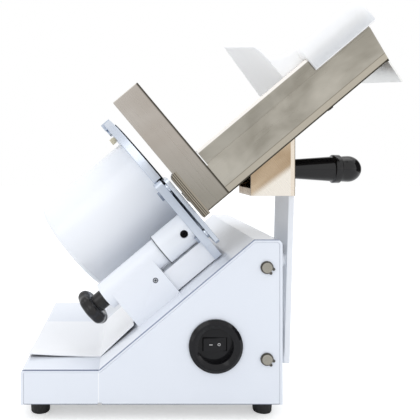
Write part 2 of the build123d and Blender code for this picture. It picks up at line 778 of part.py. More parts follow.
def slope_bolts():
    """Socket screws that hold the housing and the adjuster block from inside the base."""
    grip = SHEET + BOLT_GRIP
    screw = socket_screw(BOLT_R, BOLT_HEAD_R, BOLT_HEAD, grip, SOCKET_R, SOCKET_DEPTH)
    return [HEAD * Pos(x, y, SLOPE_Z - SHEET) * screw for x, y in slope_bolt_places() + block_bolt_places()]


def motor_end_cap():
    points = [
        (CAP_LEFT, 0),
        (CAP_LEFT, DRUM_R - END_CAP_ROUND),
        (CAP_LEFT + END_CAP_ROUND / 3, DRUM_R - END_CAP_ROUND / 3),
        (CAP_LEFT + END_CAP_ROUND, DRUM_R),
        (CAP_RIGHT, DRUM_R),
        (CAP_RIGHT, DRUM_BORE_R - SEAT),
        (CAP_RIGHT + END_CAP_SPIGOT, DRUM_BORE_R - SEAT),
        (CAP_RIGHT + END_CAP_SPIGOT, DRUM_BORE_R - DRUM_WALL),
        (CAP_RIGHT, DRUM_BORE_R - DRUM_WALL),
        (CAP_RIGHT, END_BOSS_R),
        (CAP_RIGHT + END_BOSS, END_BOSS_R),
        (CAP_RIGHT + END_BOSS, MOTOR_BEARING_R + SEAT),
        (CAP_RIGHT + END_BOSS - MOTOR_BEARING, MOTOR_BEARING_R + SEAT),
        (CAP_RIGHT + END_BOSS - MOTOR_BEARING, 0),
    ]
    body = spun_x(points)
    for y, z in through_bolt_places():
        body -= bar_x(THROUGH_BOLT_R + SEAT, CAP_LEFT - OVERRUN, CAP_RIGHT + OVERRUN, y, z)
        body -= bar_x(THROUGH_BOLT_HEAD_R + GAP, CAP_LEFT - OVERRUN, CAP_LEFT + THROUGH_BOLT_HEAD, y, z)
    return HEAD * body


def through_bolt_places():
    return around_x(THROUGH_BOLT_CIRCLE, THROUGH_BOLT_COUNT, 45)


def motor_bolts():
    """Long bolts from the end cap through the stator into the motor plate."""
    x0 = CAP_LEFT + THROUGH_BOLT_HEAD
    length = MOTOR_PLATE_RIGHT - GAP - x0
    head = THROUGH_BOLT_HEAD - GAP
    bolt = socket_screw(THROUGH_BOLT_R, THROUGH_BOLT_HEAD_R, head, length, THROUGH_BOLT_R, head / 2)
    return [HEAD * Pos(x0, y, z) * Rot(0, 90, 0) * bolt for y, z in through_bolt_places()]


def motor_plate():
    """Inner plate that carries the rotor's front bearing and the layshaft's end."""
    body = bar_x(DRUM_BORE_R - SEAT, MOTOR_PLATE_LEFT, MOTOR_PLATE_RIGHT)
    body -= bar_x(MOTOR_BEARING_R + SEAT, MOTOR_PLATE_LEFT - OVERRUN, MOTOR_PLATE_LEFT + MOTOR_BEARING)
    body -= bar_x(MOTOR_BEARING_R - SHEET, MOTOR_PLATE_LEFT, MOTOR_PLATE_RIGHT + OVERRUN)
    body -= bar_x(LAY_R + RUN, MOTOR_PLATE_LEFT - OVERRUN, MOTOR_PLATE_RIGHT + OVERRUN, 0, LAY_OFFSET)
    for y, z in through_bolt_places():
        body -= bar_x(THROUGH_BOLT_R + SEAT, MOTOR_PLATE_LEFT - OVERRUN, MOTOR_PLATE_RIGHT + OVERRUN, y, z)
    return HEAD * body


def ring_bearing(outer, bore, x0, x1):
    body = bar_x(outer, x0, x1) - bar_x(bore, x0 - OVERRUN, x1 + OVERRUN)
    return HEAD * body


def rotor_bearings():
    lefts = (CAP_RIGHT + END_BOSS - MOTOR_BEARING, MOTOR_PLATE_LEFT)
    return [ring_bearing(MOTOR_BEARING_R, ROTOR_SHAFT_R + RUN, x, x + MOTOR_BEARING) for x in lefts]


def motor_stator():
    body = bar_x(DRUM_BORE_R - SEAT, STATOR_LEFT, STATOR_RIGHT)
    body -= bar_x(ROTOR_R + AIR_GAP, STATOR_LEFT - OVERRUN, STATOR_RIGHT + OVERRUN)
    for y, z in through_bolt_places():
        body -= bar_x(THROUGH_BOLT_R + SEAT, STATOR_LEFT - OVERRUN, STATOR_RIGHT + OVERRUN, y, z)
    return HEAD * body


def stator_windings():
    """The copper end turns at both faces of the stator."""
    rings = []
    for x0 in (STATOR_LEFT - WINDING_LENGTH, STATOR_RIGHT):
        ring = bar_x(WINDING_OUTER_R, x0, x0 + WINDING_LENGTH)
        ring -= bar_x(WINDING_INNER_R, x0 - OVERRUN, x0 + WINDING_LENGTH + OVERRUN)
        rings.append(HEAD * fillet(ring.edges(), WINDING_LENGTH / 4))
    return rings


def motor_rotor():
    """Rotor core on its shaft, with the pinion cut on the shaft's end."""
    body = bar_x(ROTOR_SHAFT_R, ROTOR_SHAFT_LEFT, PINION_LEFT) + bar_x(ROTOR_R, ROTOR_LEFT, ROTOR_RIGHT)
    body += involute_gear(PINION_TEETH, PINION_LEFT, PINION_RIGHT, -90 + 180 / PINION_TEETH)
    return HEAD * body


def layshaft():
    """Second shaft: a large gear driven by the rotor and a small one driving the blade gear."""
    gear = involute_gear(LAY_GEAR_TEETH, LAY_GEAR_LEFT, LAY_GEAR_RIGHT, -90)
    pinion = involute_gear(LAY_PINION_TEETH, GEAR_LEFT, GEAR_RIGHT, -90)
    body = bar_x(LAY_R, LAY_LEFT, LAY_RIGHT) + gear + pinion
    return HEAD * Pos(0, 0, LAY_OFFSET) * body


def blade_gear():
    body = involute_gear(BLADE_GEAR_TEETH, GEAR_LEFT, GEAR_RIGHT, 90 + 180 / BLADE_GEAR_TEETH)
    return HEAD * (body - bar_x(SHAFT_R + SEAT, GEAR_LEFT - OVERRUN, GEAR_RIGHT + OVERRUN))


def gearbox_plate():
    """Front plate of the housing with the blade bearing's seat and the layshaft's boss."""
    body = bar_x(DRUM_BORE_R - SEAT, FRONT_PLATE_LEFT, FRONT_PLATE_RIGHT)
    body += bar_x(FRONT_HUB_R, FRONT_HUB_LEFT, FRONT_PLATE_RIGHT)
    body += bar_x(LAY_BOSS_R, LAY_BOSS_LEFT, FRONT_PLATE_RIGHT, 0, LAY_OFFSET)
    body -= bar_x(BLADE_BEARING_R + SEAT, FRONT_HUB_LEFT - OVERRUN, BLADE_BEARING_RIGHT)
    body -= bar_x(BLADE_BEARING_R - SHEET, BLADE_BEARING_RIGHT - OVERRUN, FRONT_PLATE_RIGHT + OVERRUN)
    body -= bar_x(LAY_R + RUN, LAY_BOSS_LEFT - OVERRUN, LAY_RIGHT + GAP, 0, LAY_OFFSET)
    for y, z in ring_screw_places():
        body -= bar_x(RING_SCREW_R + SEAT, FRONT_PLATE_LEFT - OVERRUN, FRONT_PLATE_RIGHT + OVERRUN, y, z)
    return HEAD * body


def blade_bearing():
    return ring_bearing(BLADE_BEARING_R, SHAFT_R + RUN, BLADE_BEARING_LEFT, BLADE_BEARING_RIGHT)


def blade_screw_places():
    return around_x(BLADE_SCREW_CIRCLE, BLADE_SCREW_COUNT, 45)


def blade_shaft():
    """Shaft with the blade's hub flange and centring spigot."""
    points = [
        (SHAFT_END, 0),
        (SHAFT_END, SHAFT_R),
        (-BLADE_THICKNESS - HUB_THICKNESS, SHAFT_R),
        (-BLADE_THICKNESS - HUB_THICKNESS, HUB_R),
        (-BLADE_THICKNESS, HUB_R),
        (-BLADE_THICKNESS, BLADE_BORE_R - SEAT),
        (-BLADE_FACE_DROP, BLADE_BORE_R - SEAT),
        (-BLADE_FACE_DROP, 0),
    ]
    body = spun_x(points)
    for y, z in blade_screw_places():
        hole_end = -BLADE_THICKNESS - HUB_THICKNESS
        body -= bar_x(BLADE_SCREW_R + SEAT, hole_end - OVERRUN, -BLADE_THICKNESS + OVERRUN / 2, y, z)
    return HEAD * body


def blade():
    """Round knife: flat face inside, hollow-ground outwards to an edge on the cutting plane."""
    points = [
        (-BLADE_THICKNESS, BLADE_BORE_R),
        (-BLADE_FACE_DROP, BLADE_BORE_R),
        (-BLADE_FACE_DROP, BLADE_GRIND_R),
        (0, BLADE_R - BLADE_LAND),
        (-BLADE_LAND, BLADE_R),
        (-BLADE_THICKNESS, BLADE_BACK_R),
    ]
    body = spun_x(points)
    for y, z in blade_screw_places():
        body -= bar_x(BLADE_SCREW_R + SEAT, -BLADE_THICKNESS - OVERRUN, OVERRUN, y, z)
    return HEAD * body


def hub_cover():
    """Disc over the blade's bore, held by the blade's screws."""
    x0 = -BLADE_FACE_DROP
    x1 = x0 + HUB_COVER_THICKNESS
    points = [
        (x0, 0),
        (x0, HUB_COVER_R),
        (x0 + HUB_COVER_THICKNESS / 2, HUB_COVER_R),
        (x1, HUB_COVER_R - HUB_COVER_THICKNESS),
        (x1, 0),
    ]
    body = spun_x(points)
    for y, z in blade_screw_places():
        body -= Pos(x1, y, z) * spun_x(countersink_points(SEAT))
    return HEAD * body


def countersink_points(extra):
    """Outline of a countersunk screw, its head's face at x = 0 and its shank behind."""
    head_r, r = BLADE_SCREW_HEAD_R + extra, BLADE_SCREW_R + extra
    head_end = GAP - HUB_COVER_THICKNESS
    return [(0, 0), (0, head_r), (head_end, r), (-BLADE_SCREW_LENGTH, r), (-BLADE_SCREW_LENGTH, 0)]


def blade_screws():
    screw = spun_x(countersink_points(0))
    socket = extrude(RegularPolygon(BLADE_SCREW_R, 6), BLADE_SOCKET)
    screw -= Rot(0, -90, 0) * socket
    x = -BLADE_FACE_DROP + HUB_COVER_THICKNESS
    return [HEAD * Pos(x, y, z) * screw for y, z in blade_screw_places()]


def ring_screw_places():
    return around_x(RING_SCREW_CIRCLE, RING_SCREW_COUNT, 30)


def gauge_sector(inner_r, x0, x1):
    """The wedge of the ring that gives way to the gauge plate, between two heights."""
    outer = RING_R + OVERRUN
    wedge = block(x0, x1, -outer, 0, RING_SECTOR_BOTTOM, RING_SECTOR_TOP)
    return wedge - bar_x(inner_r, x0 - OVERRUN, x1 + OVERRUN)


def ring_guard():
    """Cast ring behind and round the blade, open where the gauge plate comes up to the edge."""
    points = [
        (-RING_DEPTH, RING_EYE_R),
        (-RING_DEPTH, RING_R - BLADE_LAND),
        (-RING_FACE_DROP - BLADE_LAND, RING_R),
        (-RING_FACE_DROP, RING_R - BLADE_LAND),
        (-RING_FACE_DROP, RING_BORE_R),
        (-RING_DEPTH + RING_PLATE, RING_BORE_R),
        (-RING_DEPTH + RING_PLATE, RING_EYE_R),
    ]
    body = spun_x(points)
    half = RING_BLOCK_WIDTH / 2
    top = block(RING_BLOCK_BACK, RING_BLOCK_FRONT, -half, half, RING_BLOCK_BOTTOM, RING_R + RING_BLOCK_RISE)
    top -= bar_x(RING_BORE_R, -RING_DEPTH + RING_PLATE, 0)
    body += top
    boss_back = -RING_DEPTH - RING_BOSS_HEIGHT
    body += bar_x(RING_BOSS_R, boss_back, -RING_DEPTH + OVERRUN, half, RING_BOSS_AT)
    body -= gauge_sector(RING_SECTOR_R, -RING_DEPTH - OVERRUN, OVERRUN)
    for y in (-half / 2, half / 2):
        hole_top = RING_R + RING_BLOCK_RISE + OVERRUN
        body -= bar_z(RING_BLOCK_HOLE_R, RING_BLOCK_BOTTOM + OVERRUN, hole_top, -RING_DEPTH, y)
    body -= bar_x(RING_BOSS_HOLE_R, boss_back - OVERRUN, -RING_DEPTH + OVERRUN, half, RING_BOSS_AT)
    body -= bar_x(THUMB_SCREW_R + RUN, -RING_DEPTH - OVERRUN, 0, 0, THUMB_SCREW_AT)
    for y, z in ring_screw_places():
        body -= bar_x(RING_SCREW_R + SEAT, -RING_DEPTH - OVERRUN, 0, y, z)
    return HEAD * body


def ring_screws():
    """Screws through the ring guard into the gearbox plate, behind the blade."""
    screw = socket_screw(
        RING_SCREW_R, RING_SCREW_HEAD_R, RING_SCREW_HEAD, RING_SCREW_LENGTH, RING_SCREW_R, RING_SCREW_HEAD / 2
    )
    x = -RING_DEPTH + RING_PLATE
    return [HEAD * Pos(x, y, z) * Rot(0, -90, 0) * screw for y, z in ring_screw_places()]


def thumb_screw():
    """Small grooved screw in the back of the ring, turned by hand."""
    x1 = -RING_DEPTH - GAP
    x0 = x1 - THUMB_HEAD
    head = bar_x(THUMB_HEAD_R, x0, x1 - THUMB_COLLAR)
    for y, z in around_x(THUMB_HEAD_R, THUMB_GRIPS):
        head -= bar_x(THUMB_GRIP_R, x0 - OVERRUN, x1, y, z)
    body = head + bar_x(THUMB_HEAD_R - THUMB_GRIP_R, x1 - THUMB_COLLAR, x1)
    body += bar_x(THUMB_SCREW_R, x1 - THUMB_COLLAR, -RING_DEPTH + RING_PLATE - GAP)
    return HEAD * Pos(0, 0, THUMB_SCREW_AT) * body


def adjuster_block():
    """Casting on the slope: round-backed sleeve for the spindle, bridge over the slide bar."""
    near, far = head_y(BLOCK_NEAR), head_y(BLOCK_FAR)
    body = bar_x(SLEEVE_R, SLEEVE_LEFT, SLEEVE_RIGHT, ADJUST_LOCAL_Y, ADJUST_Z)
    body += block(BLOCK_LEFT, BLOCK_RIGHT, near, far, SLOPE_Z, ADJUST_Z)
    pocket_top = BAR_TOP + GAP
    pocket_near, pocket_far = near + BLOCK_CHEEK_NEAR - GAP, far - BLOCK_CHEEK_FAR + GAP
    body -= block(
        BLOCK_LEFT + BLOCK_HEEL, BLOCK_RIGHT + OVERRUN, pocket_near, pocket_far, SLOPE_Z - OVERRUN, pocket_top
    )
    body -= bar_x(SPINDLE_R + RUN, SLEEVE_LEFT - OVERRUN, SLEEVE_RIGHT + OVERRUN, ADJUST_LOCAL_Y, ADJUST_Z)
    for x, y in block_bolt_places():
        body -= bar_z(BOLT_R + SEAT, SLOPE_Z - OVERRUN, SLOPE_Z + BOLT_GRIP + SEAT, x, y)
    pin_y = head_y(BLOCK_NEAR)
    body -= bar_y(ROLL_PIN_R + SEAT, pin_y - OVERRUN, pin_y + ROLL_PIN_LENGTH, ROLL_PIN_X, ROLL_PIN_Z)
    return HEAD * body


def roll_pin():
    """Slotted spring pin driven into the block's near face."""
    y0 = head_y(BLOCK_NEAR)
    y1 = y0 + ROLL_PIN_LENGTH
    body = bar_y(ROLL_PIN_R, y0, y1, ROLL_PIN_X, ROLL_PIN_Z)
    body -= bar_y(ROLL_PIN_BORE_R, y0 - OVERRUN, y1 + OVERRUN, ROLL_PIN_X, ROLL_PIN_Z)
    return HEAD * body


def adjuster_spindle():
    """Threaded shaft from the knob, held by a collar at the sleeve's end."""
    collar_left = SLEEVE_RIGHT + GAP
    body = bar_x(SPINDLE_R, KNOB_HUB_LEFT, SPINDLE_RIGHT)
    body += bar_x(SPINDLE_COLLAR_R, collar_left, collar_left + SPINDLE_COLLAR)
    body -= bar_x(KNOB_SCREW_R + SEAT, KNOB_HUB_LEFT - OVERRUN, KNOB_HUB_LEFT + KNOB_SCREW_LENGTH)
    return HEAD * Pos(0, ADJUST_LOCAL_Y, ADJUST_Z) * body


def thickness_knob():
    """Lobed hand wheel on a round hub."""
    disc = bar_x(KNOB_R, KNOB_LEFT, KNOB_HUB_LEFT)
    for y, z in around_x(KNOB_SCALLOP_CENTRE_R, KNOB_LOBES, KNOB_PIN_TURN):
        disc -= bar_x(KNOB_SCALLOP_R, KNOB_LEFT - OVERRUN, KNOB_HUB_LEFT + OVERRUN, y, z)
    rims = disc.faces().filter_by(Axis.X)
    disc = fillet([e for f in rims for e in f.edges()], KNOB_ROUND)
    body = disc + bar_x(KNOB_HUB_R, KNOB_HUB_LEFT, SLEEVE_LEFT - GAP)
    body -= bar_x(KNOB_RECESS_R, KNOB_LEFT - OVERRUN, KNOB_LEFT + KNOB_RECESS)
    body -= bar_x(KNOB_SCREW_R + SEAT, KNOB_LEFT, KNOB_HUB_LEFT + OVERRUN)
    body -= bar_x(SPINDLE_R + SEAT, KNOB_HUB_LEFT - SEAT, SLEEVE_LEFT + OVERRUN)
    return HEAD * Pos(0, ADJUST_LOCAL_Y, ADJUST_Z) * body


def knob_screw():
    screw = socket_screw(
        KNOB_SCREW_R,
        KNOB_SCREW_HEAD_R,
        KNOB_SCREW_HEAD,
        KNOB_HUB_LEFT - KNOB_LEFT - KNOB_RECESS + KNOB_SCREW_LENGTH - OVERRUN,
        KNOB_SCREW_R,
        KNOB_SCREW_HEAD / 2,
    )
    return HEAD * Pos(KNOB_LEFT + KNOB_RECESS, ADJUST_LOCAL_Y, ADJUST_Z) * Rot(0, 90, 0) * screw


def gauge_boss():
    """Cup that slides over the sleeve's end; its core is the spindle's nut."""
    body = bar_x(CUP_R, CUP_RIM, CUP_END)
    body -= bar_x(CUP_R - CUP_WALL, CUP_RIM - OVERRUN, CUP_FLOOR)
    body -= bar_x(SPINDLE_R + RUN, CUP_FLOOR - OVERRUN, CUP_BORE_END)
    hole_y = -CUP_R + CUP_HOLE_DEPTH
    body -= bar_y(CUP_HOLE_R, -CUP_R - OVERRUN, hole_y, CUP_HOLE_X)
    return HEAD * Pos(0, ADJUST_LOCAL_Y, ADJUST_Z) * body


def grub_screw():
    """Set screw at the bottom of the boss's side hole."""
    y1 = -CUP_R + CUP_HOLE_DEPTH
    body = bar_y(GRUB_R, y1 - GRUB_DEPTH, y1, CUP_HOLE_X)
    socket = extrude(RegularPolygon(GRUB_SOCKET_R, 6), GRUB_DEPTH / 2)
    body -= Pos(CUP_HOLE_X, y1 - GRUB_DEPTH, 0) * Rot(-90, 0, 0) * socket
    return HEAD * Pos(0, ADJUST_LOCAL_Y, ADJUST_Z) * body


def bar_screw_places():
    """Screws that hold the slide bar to the carrier, as (y, z) in the head frame."""
    y = head_y((BLOCK_NEAR + BLOCK_CHEEK_NEAR + BLOCK_FAR - BLOCK_CHEEK_FAR) / 2)
    z = (BAR_TOP + BAR_BOTTOM) / 2
    return [(y - BAR_SCREW_PITCH / 2, z), (y + BAR_SCREW_PITCH / 2, z)]


def slide_bar():
    """Square bar that guides the gauge under the adjuster block."""
    y0, y1 = head_y(BLOCK_NEAR) + BLOCK_CHEEK_NEAR, head_y(BLOCK_FAR) - BLOCK_CHEEK_FAR
    body = block(BAR_LEFT, CARRIER_LEFT, y0, y1, BAR_BOTTOM, BAR_TOP)
    body = fillet(body.edges().filter_by(Axis.X), BAR_EDGE_R)
    hole_end = CARRIER_LEFT - BAR_SCREW_GRIP - SEAT
    for y, z in bar_screw_places():
        body -= bar_x(PLATE_SCREW_R + SEAT, hole_end, CARRIER_LEFT + OVERRUN, y, z)
    return HEAD * body


def plate_screw_places():
    """Posts between the carrier and the gauge plate, as (y, z) in the head frame."""
    z_low = CARRIER_BOTTOM + PLATE_SCREW_INSET
    z_high = CARRIER_TOP - PLATE_SCREW_INSET
    y_near = head_y(CARRIER_NEAR) + PLATE_SCREW_INSET / 2
    y_far = head_y(CARRIER_FAR) - PLATE_SCREW_INSET / 2
    return [(y_near, z_low), (y_near, z_high), (y_far, z_high - PLATE_POST_R)]


def gauge_carrier():
    """Back plate that joins the boss and the slide bar."""
    near, far = head_y(CARRIER_NEAR), head_y(CARRIER_FAR)
    body = block(CARRIER_LEFT, CARRIER_RIGHT, near, far, CARRIER_BOTTOM, CARRIER_TOP)
    foot_far = head_y(BLOCK_FAR) - BLOCK_CHEEK_FAR
    body += block(CARRIER_LEFT, CARRIER_RIGHT, near + PLATE_SCREW_INSET, foot_far, BAR_BOTTOM, CARRIER_BOTTOM)
    body = fillet(body.edges().filter_by(Axis.X).sort_by(Axis.Z)[-2:], CARRIER_CORNER_R)
    for y, z in plate_screw_places() + bar_screw_places():
        body -= bar_x(PLATE_SCREW_R + SEAT, CARRIER_LEFT - OVERRUN, CARRIER_RIGHT + OVERRUN, y, z)
    for y, z in bar_screw_places():
        head_x = CARRIER_RIGHT - PLATE_SCREW_HEAD
        body -= bar_x(PLATE_SCREW_HEAD_R + SEAT, head_x, CARRIER_RIGHT + OVERRUN, y, z)
    return HEAD * body


def gauge_plate():
    """Plate the food slides over, its far edge hollowed round the blade, with posts behind."""
    x0, x1 = PLATE_FRONT - PLATE_THICKNESS, PLATE_FRONT
    body = block(x0, x1, head_y(PLATE_NEAR), 0, PLATE_BOTTOM, PLATE_TOP)
    body -= bar_x(PLATE_EDGE_R, x0 - OVERRUN, x1 + OVERRUN)
    near_edges = [e for e in body.edges().filter_by(Axis.X) if e.center().Y < head_y(PLATE_NEAR) + GAP]
    body = fillet(near_edges, PLATE_CORNER_R)
    for y, z in plate_screw_places():
        body += bar_x(PLATE_POST_R, CARRIER_RIGHT, x0, y, z)
        body -= bar_x(PLATE_SCREW_R + SEAT, CARRIER_RIGHT - OVERRUN, x0 + PLATE_THICKNESS / 2, y, z)
    return HEAD * body


def gauge_screws():
    """Screws through the carrier: from behind into the plate's posts, from the front into the bar."""
    r, head_r, head = PLATE_SCREW_R, PLATE_SCREW_HEAD_R, PLATE_SCREW_HEAD
    post_length = PLATE_FRONT - PLATE_THICKNESS / 2 - SEAT - CARRIER_LEFT
    post_screw = socket_screw(r, head_r, head, post_length, r, head / 2)
    seat_x = CARRIER_RIGHT - head
    bar_screw = socket_screw(r, head_r, head, seat_x - CARRIER_LEFT + BAR_SCREW_GRIP, r, head / 2)
    screws = [Pos(CARRIER_LEFT, y, z) * Rot(0, 90, 0) * post_screw for y, z in plate_screw_places()]
    screws += [Pos(seat_x, y, z) * Rot(0, -90, 0) * bar_screw for y, z in bar_screw_places()]
    return [HEAD * screw for screw in screws]


def arm_screw_places():
    """Screws from the arm into the bearing block and the guide, as (y, z)."""
    y = CARRIAGE_NEAR + CARRIAGE_DEPTH / 2
    return [
        (y - ARM_SCREW_PITCH / 2, ROD_UPPER_Z),
        (y + ARM_SCREW_PITCH / 2, ROD_UPPER_Z),
        (y, ROD_LOWER_Z),
    ]


def bearing_block():
    """Block round the upper rod, with a neck out through the base's slot."""
    y0, y1 = CARRIAGE_NEAR, CARRIAGE_NEAR + CARRIAGE_DEPTH
    half = BEARING_BLOCK_HALF
    body = block(ROD_X - half, ROD_X + half, y0, y1, ROD_UPPER_Z - half, ROD_UPPER_Z + half)
    body = fillet(body.edges().filter_by(Axis.Y), BLOCK_ROUND)
    body += block(ROD_X, ARM_LEFT, y0, y1, ROD_UPPER_Z - NECK_HALF, ROD_UPPER_Z + NECK_HALF)
    body -= bar_y(BUSH_R + SEAT, y0 - OVERRUN, y1 + OVERRUN, ROD_X, ROD_UPPER_Z)
    for y, z in arm_screw_places()[:2]:
        body -= bar_x(ARM_SCREW_R + SEAT, ARM_LEFT - ARM_SCREW_GRIP - SEAT, ARM_LEFT + OVERRUN, y, z)
    return body


def slide_bushes():
    """Bearing bushes at both ends of the bearing block."""
    y0 = CARRIAGE_NEAR
    y1 = CARRIAGE_NEAR + CARRIAGE_DEPTH - BUSH_LENGTH
    bushes = []
    for y in (y0, y1):
        bush = bar_y(BUSH_R, y, y + BUSH_LENGTH, ROD_X, ROD_UPPER_Z)
        bush -= bar_y(ROD_R + RUN, y - OVERRUN, y + BUSH_LENGTH + OVERRUN, ROD_X, ROD_UPPER_Z)
        bushes.append(bush)
    return bushes


def guide_fork():
    """Guide that straddles the lower rod and keeps the arm upright."""
    y0 = CARRIAGE_NEAR + (CARRIAGE_DEPTH - GUIDE_DEPTH) / 2
    y1 = y0 + GUIDE_DEPTH
    half = GUIDE_HALF
    body = block(ROD_X - half, ROD_X + half, y0, y1, ROD_LOWER_Z - half, ROD_LOWER_Z + half)
    body += block(ROD_X, ARM_LEFT, y0, y1, ROD_LOWER_Z - GUIDE_NECK_HALF, ROD_LOWER_Z + GUIDE_NECK_HALF)
    body -= bar_y(ROD_R + RUN, y0 - OVERRUN, y1 + OVERRUN, ROD_X, ROD_LOWER_Z)
    slit = ROD_R - RUN
    mouth = block(ROD_X - half - OVERRUN, ROD_X, y0 - OVERRUN, y1 + OVERRUN, -slit, slit)
    body -= Pos(0, 0, ROD_LOWER_Z) * mouth
    y, z = arm_screw_places()[2]
    return body - bar_x(ARM_SCREW_R + SEAT, ARM_LEFT - ARM_SCREW_GRIP - SEAT, ARM_LEFT + OVERRUN, y, z)


def tongue_depths():
    """Near and far edge of the arm's tongue inside the bracket."""
    return CARRIAGE_NEAR + TONGUE_INSET, CARRIAGE_NEAR + CARRIAGE_DEPTH - TONGUE_INSET


def carriage_arm():
    """Flat cast arm that leans in towards its foot, with bosses and a tongue up into the bracket."""
    profile = [
        (ARM_RIGHT_BOTTOM - ARM_THICKNESS, ARM_BOTTOM),
        (ARM_RIGHT_TOP - ARM_THICKNESS, ARM_TOP),
        (ARM_RIGHT_TOP, ARM_TOP),
        (ARM_RIGHT_BOTTOM, ARM_BOTTOM),
    ]
    body = sheet_xz(profile, CARRIAGE_NEAR, CARRIAGE_NEAR + CARRIAGE_DEPTH)
    low_edges = body.edges().filter_by(Axis.X).filter_by(lambda e: e.center().Z < ARM_BOTTOM + GAP)
    body = fillet(low_edges, ARM_END_R)
    y0, y1 = tongue_depths()
    tongue_right = BRACKET_RIGHT - BRACKET_SHEET - SEAT
    body += block(TONGUE_LEFT, tongue_right, y0, y1, ARM_TOP - OVERRUN, TONGUE_TOP)
    for y, z in arm_screw_places():
        body += bar_x(ARM_BOSS_R, ARM_LEFT, ARM_RIGHT_BOTTOM - GAP, y, z)
    for y, z in arm_screw_places():
        body -= bar_x(ARM_SCREW_R + SEAT, ARM_LEFT - OVERRUN, ARM_RIGHT_TOP + OVERRUN, y, z)
        seat_x = ARM_RIGHT_BOTTOM - ARM_SCREW_HEAD
        body -= bar_x(ARM_SCREW_HEAD_R + GAP, seat_x, ARM_RIGHT_TOP + OVERRUN, y, z)
    for y, z in bracket_bolt_places():
        body -= bar_x(BOLT_R + SEAT, TONGUE_LEFT - OVERRUN, ARM_RIGHT_TOP + OVERRUN, y, z)
    return body - bar_x(STUD_R + SEAT, TONGUE_LEFT - OVERRUN, ARM_RIGHT_TOP + OVERRUN, HANDLE_Y, HANDLE_Z)


def arm_screws():
    """Countersunk-seated cap screws through the arm's bosses."""
    x = ARM_RIGHT_BOTTOM - ARM_SCREW_HEAD
    length = x - ARM_LEFT + ARM_SCREW_GRIP
    screw = socket_screw(ARM_SCREW_R, ARM_SCREW_HEAD_R, ARM_SCREW_HEAD, length, SOCKET_R, SOCKET_DEPTH)
    return [Pos(x, y, z) * Rot(0, -90, 0) * screw for y, z in arm_screw_places()]


def bracket_bolt_places():
    """Bolts through the arm's tongue and the bracket's end wall, as (y, z)."""
    y = CARRIAGE_NEAR + CARRIAGE_DEPTH / 2
    return [(y - BRACKET_BOLT_PITCH / 2, BRACKET_BOLT_Z), (y + BRACKET_BOLT_PITCH / 2, BRACKET_BOLT_Z)]


def tray_underside_z(x):
    """Base-frame height of the tray's underside above a base-frame x."""
    along = (x - BLADE_X + TRAY_UNDERSIDE * sin(radians(TILT))) / cos(radians(TILT))
    return BLADE_Z + along * sin(radians(TILT)) + TRAY_UNDERSIDE * cos(radians(TILT))


def tray_bracket():
    """Open box of folded sheet between the arm's head and the tray's underside."""
    t = BRACKET_SHEET
    drop = GAP / cos(radians(TILT))
    outline = [
        (BRACKET_LEFT, BRACKET_BOTTOM),
        (BRACKET_RIGHT, BRACKET_BOTTOM),
        (BRACKET_RIGHT, tray_underside_z(BRACKET_RIGHT) - drop),
        (BRACKET_LEFT, tray_underside_z(BRACKET_LEFT) - drop),
    ]
    body = sheet_xz(outline, BRACKET_NEAR, BRACKET_FAR)
    high = tray_underside_z(BRACKET_RIGHT) + OVERRUN
    near, far = BRACKET_NEAR + t, BRACKET_FAR - t
    body -= block(BRACKET_LEFT + t, BRACKET_RIGHT - t, near, far, BRACKET_BOTTOM + t, high)
    window_z = BRACKET_BOTTOM + t + BRACKET_LIP
    body -= block(BRACKET_LEFT - OVERRUN, BRACKET_LEFT + t + OVERRUN, near, far, window_z, high)
    y0, y1 = tongue_depths()
    slot_z0, slot_z1 = BRACKET_BOTTOM - OVERRUN, BRACKET_BOTTOM + t
    body -= block(TONGUE_LEFT - SEAT, BRACKET_RIGHT - t, y0 - SEAT, y1 + SEAT, slot_z0, slot_z1)
    for y, z in bracket_bolt_places():
        body -= bar_x(BOLT_R + SEAT, BRACKET_RIGHT - t - OVERRUN, BRACKET_RIGHT + OVERRUN, y, z)
    body -= bar_x(STUD_R + SEAT, BRACKET_RIGHT - t - OVERRUN, BRACKET_RIGHT + OVERRUN, HANDLE_Y, HANDLE_Z)
    return body


def bracket_bolts():
    """Bolts from inside the bracket, flush with the outside of its end wall."""
    length = BRACKET_RIGHT - TONGUE_LEFT
    bolt = socket_screw(BOLT_R, BOLT_HEAD_R, BOLT_HEAD, length, SOCKET_R, SOCKET_DEPTH)
    return [Pos(TONGUE_LEFT, y, z) * Rot(0, 90, 0) * bolt for y, z in bracket_bolt_places()]


def carriage_handle():
    """Turned black grip with a collar, a swelling body and a round end."""
    collar_right = HANDLE_COLLAR_LEFT + HANDLE_COLLAR_WIDTH
    end_centre = HANDLE_LENGTH - HANDLE_BULB_R
    step = HANDLE_COLLAR_WIDTH / 4
    lower = Polyline(
        (0, 0),
        (0, HANDLE_NECK_R),
        (HANDLE_COLLAR_LEFT, HANDLE_GRIP_R),
        (HANDLE_COLLAR_LEFT + step, HANDLE_COLLAR_R),
        (collar_right - step, HANDLE_COLLAR_R),
        (collar_right, HANDLE_GRIP_R),
        (end_centre, HANDLE_BULB_R),
    )
    quarter = HANDLE_BULB_R * sin(pi / 4)
    nose = ThreePointArc((end_centre, HANDLE_BULB_R), (end_centre + quarter, quarter), (HANDLE_LENGTH, 0))
    axis = Line((HANDLE_LENGTH, 0), (0, 0))
    body = revolve(make_face([lower, nose, axis]), Axis.X)
    body -= bar_x(STUD_R + SEAT, -OVERRUN, STUD_GRIP + SEAT)
    return Pos(BRACKET_RIGHT, HANDLE_Y, HANDLE_Z) * body


def handle_stud():
    """Headed stud through the arm's tongue and the bracket's end wall into the grip."""
    x = TONGUE_LEFT
    stud = bar_x(STUD_R, x, BRACKET_RIGHT + STUD_GRIP, HANDLE_Y, HANDLE_Z)
    head = Pos(x, HANDLE_Y, HANDLE_Z) * Rot(0, -90, 0) * extrude(RegularPolygon(STUD_HEAD_R, 6), STUD_HEAD)
    return stud + head


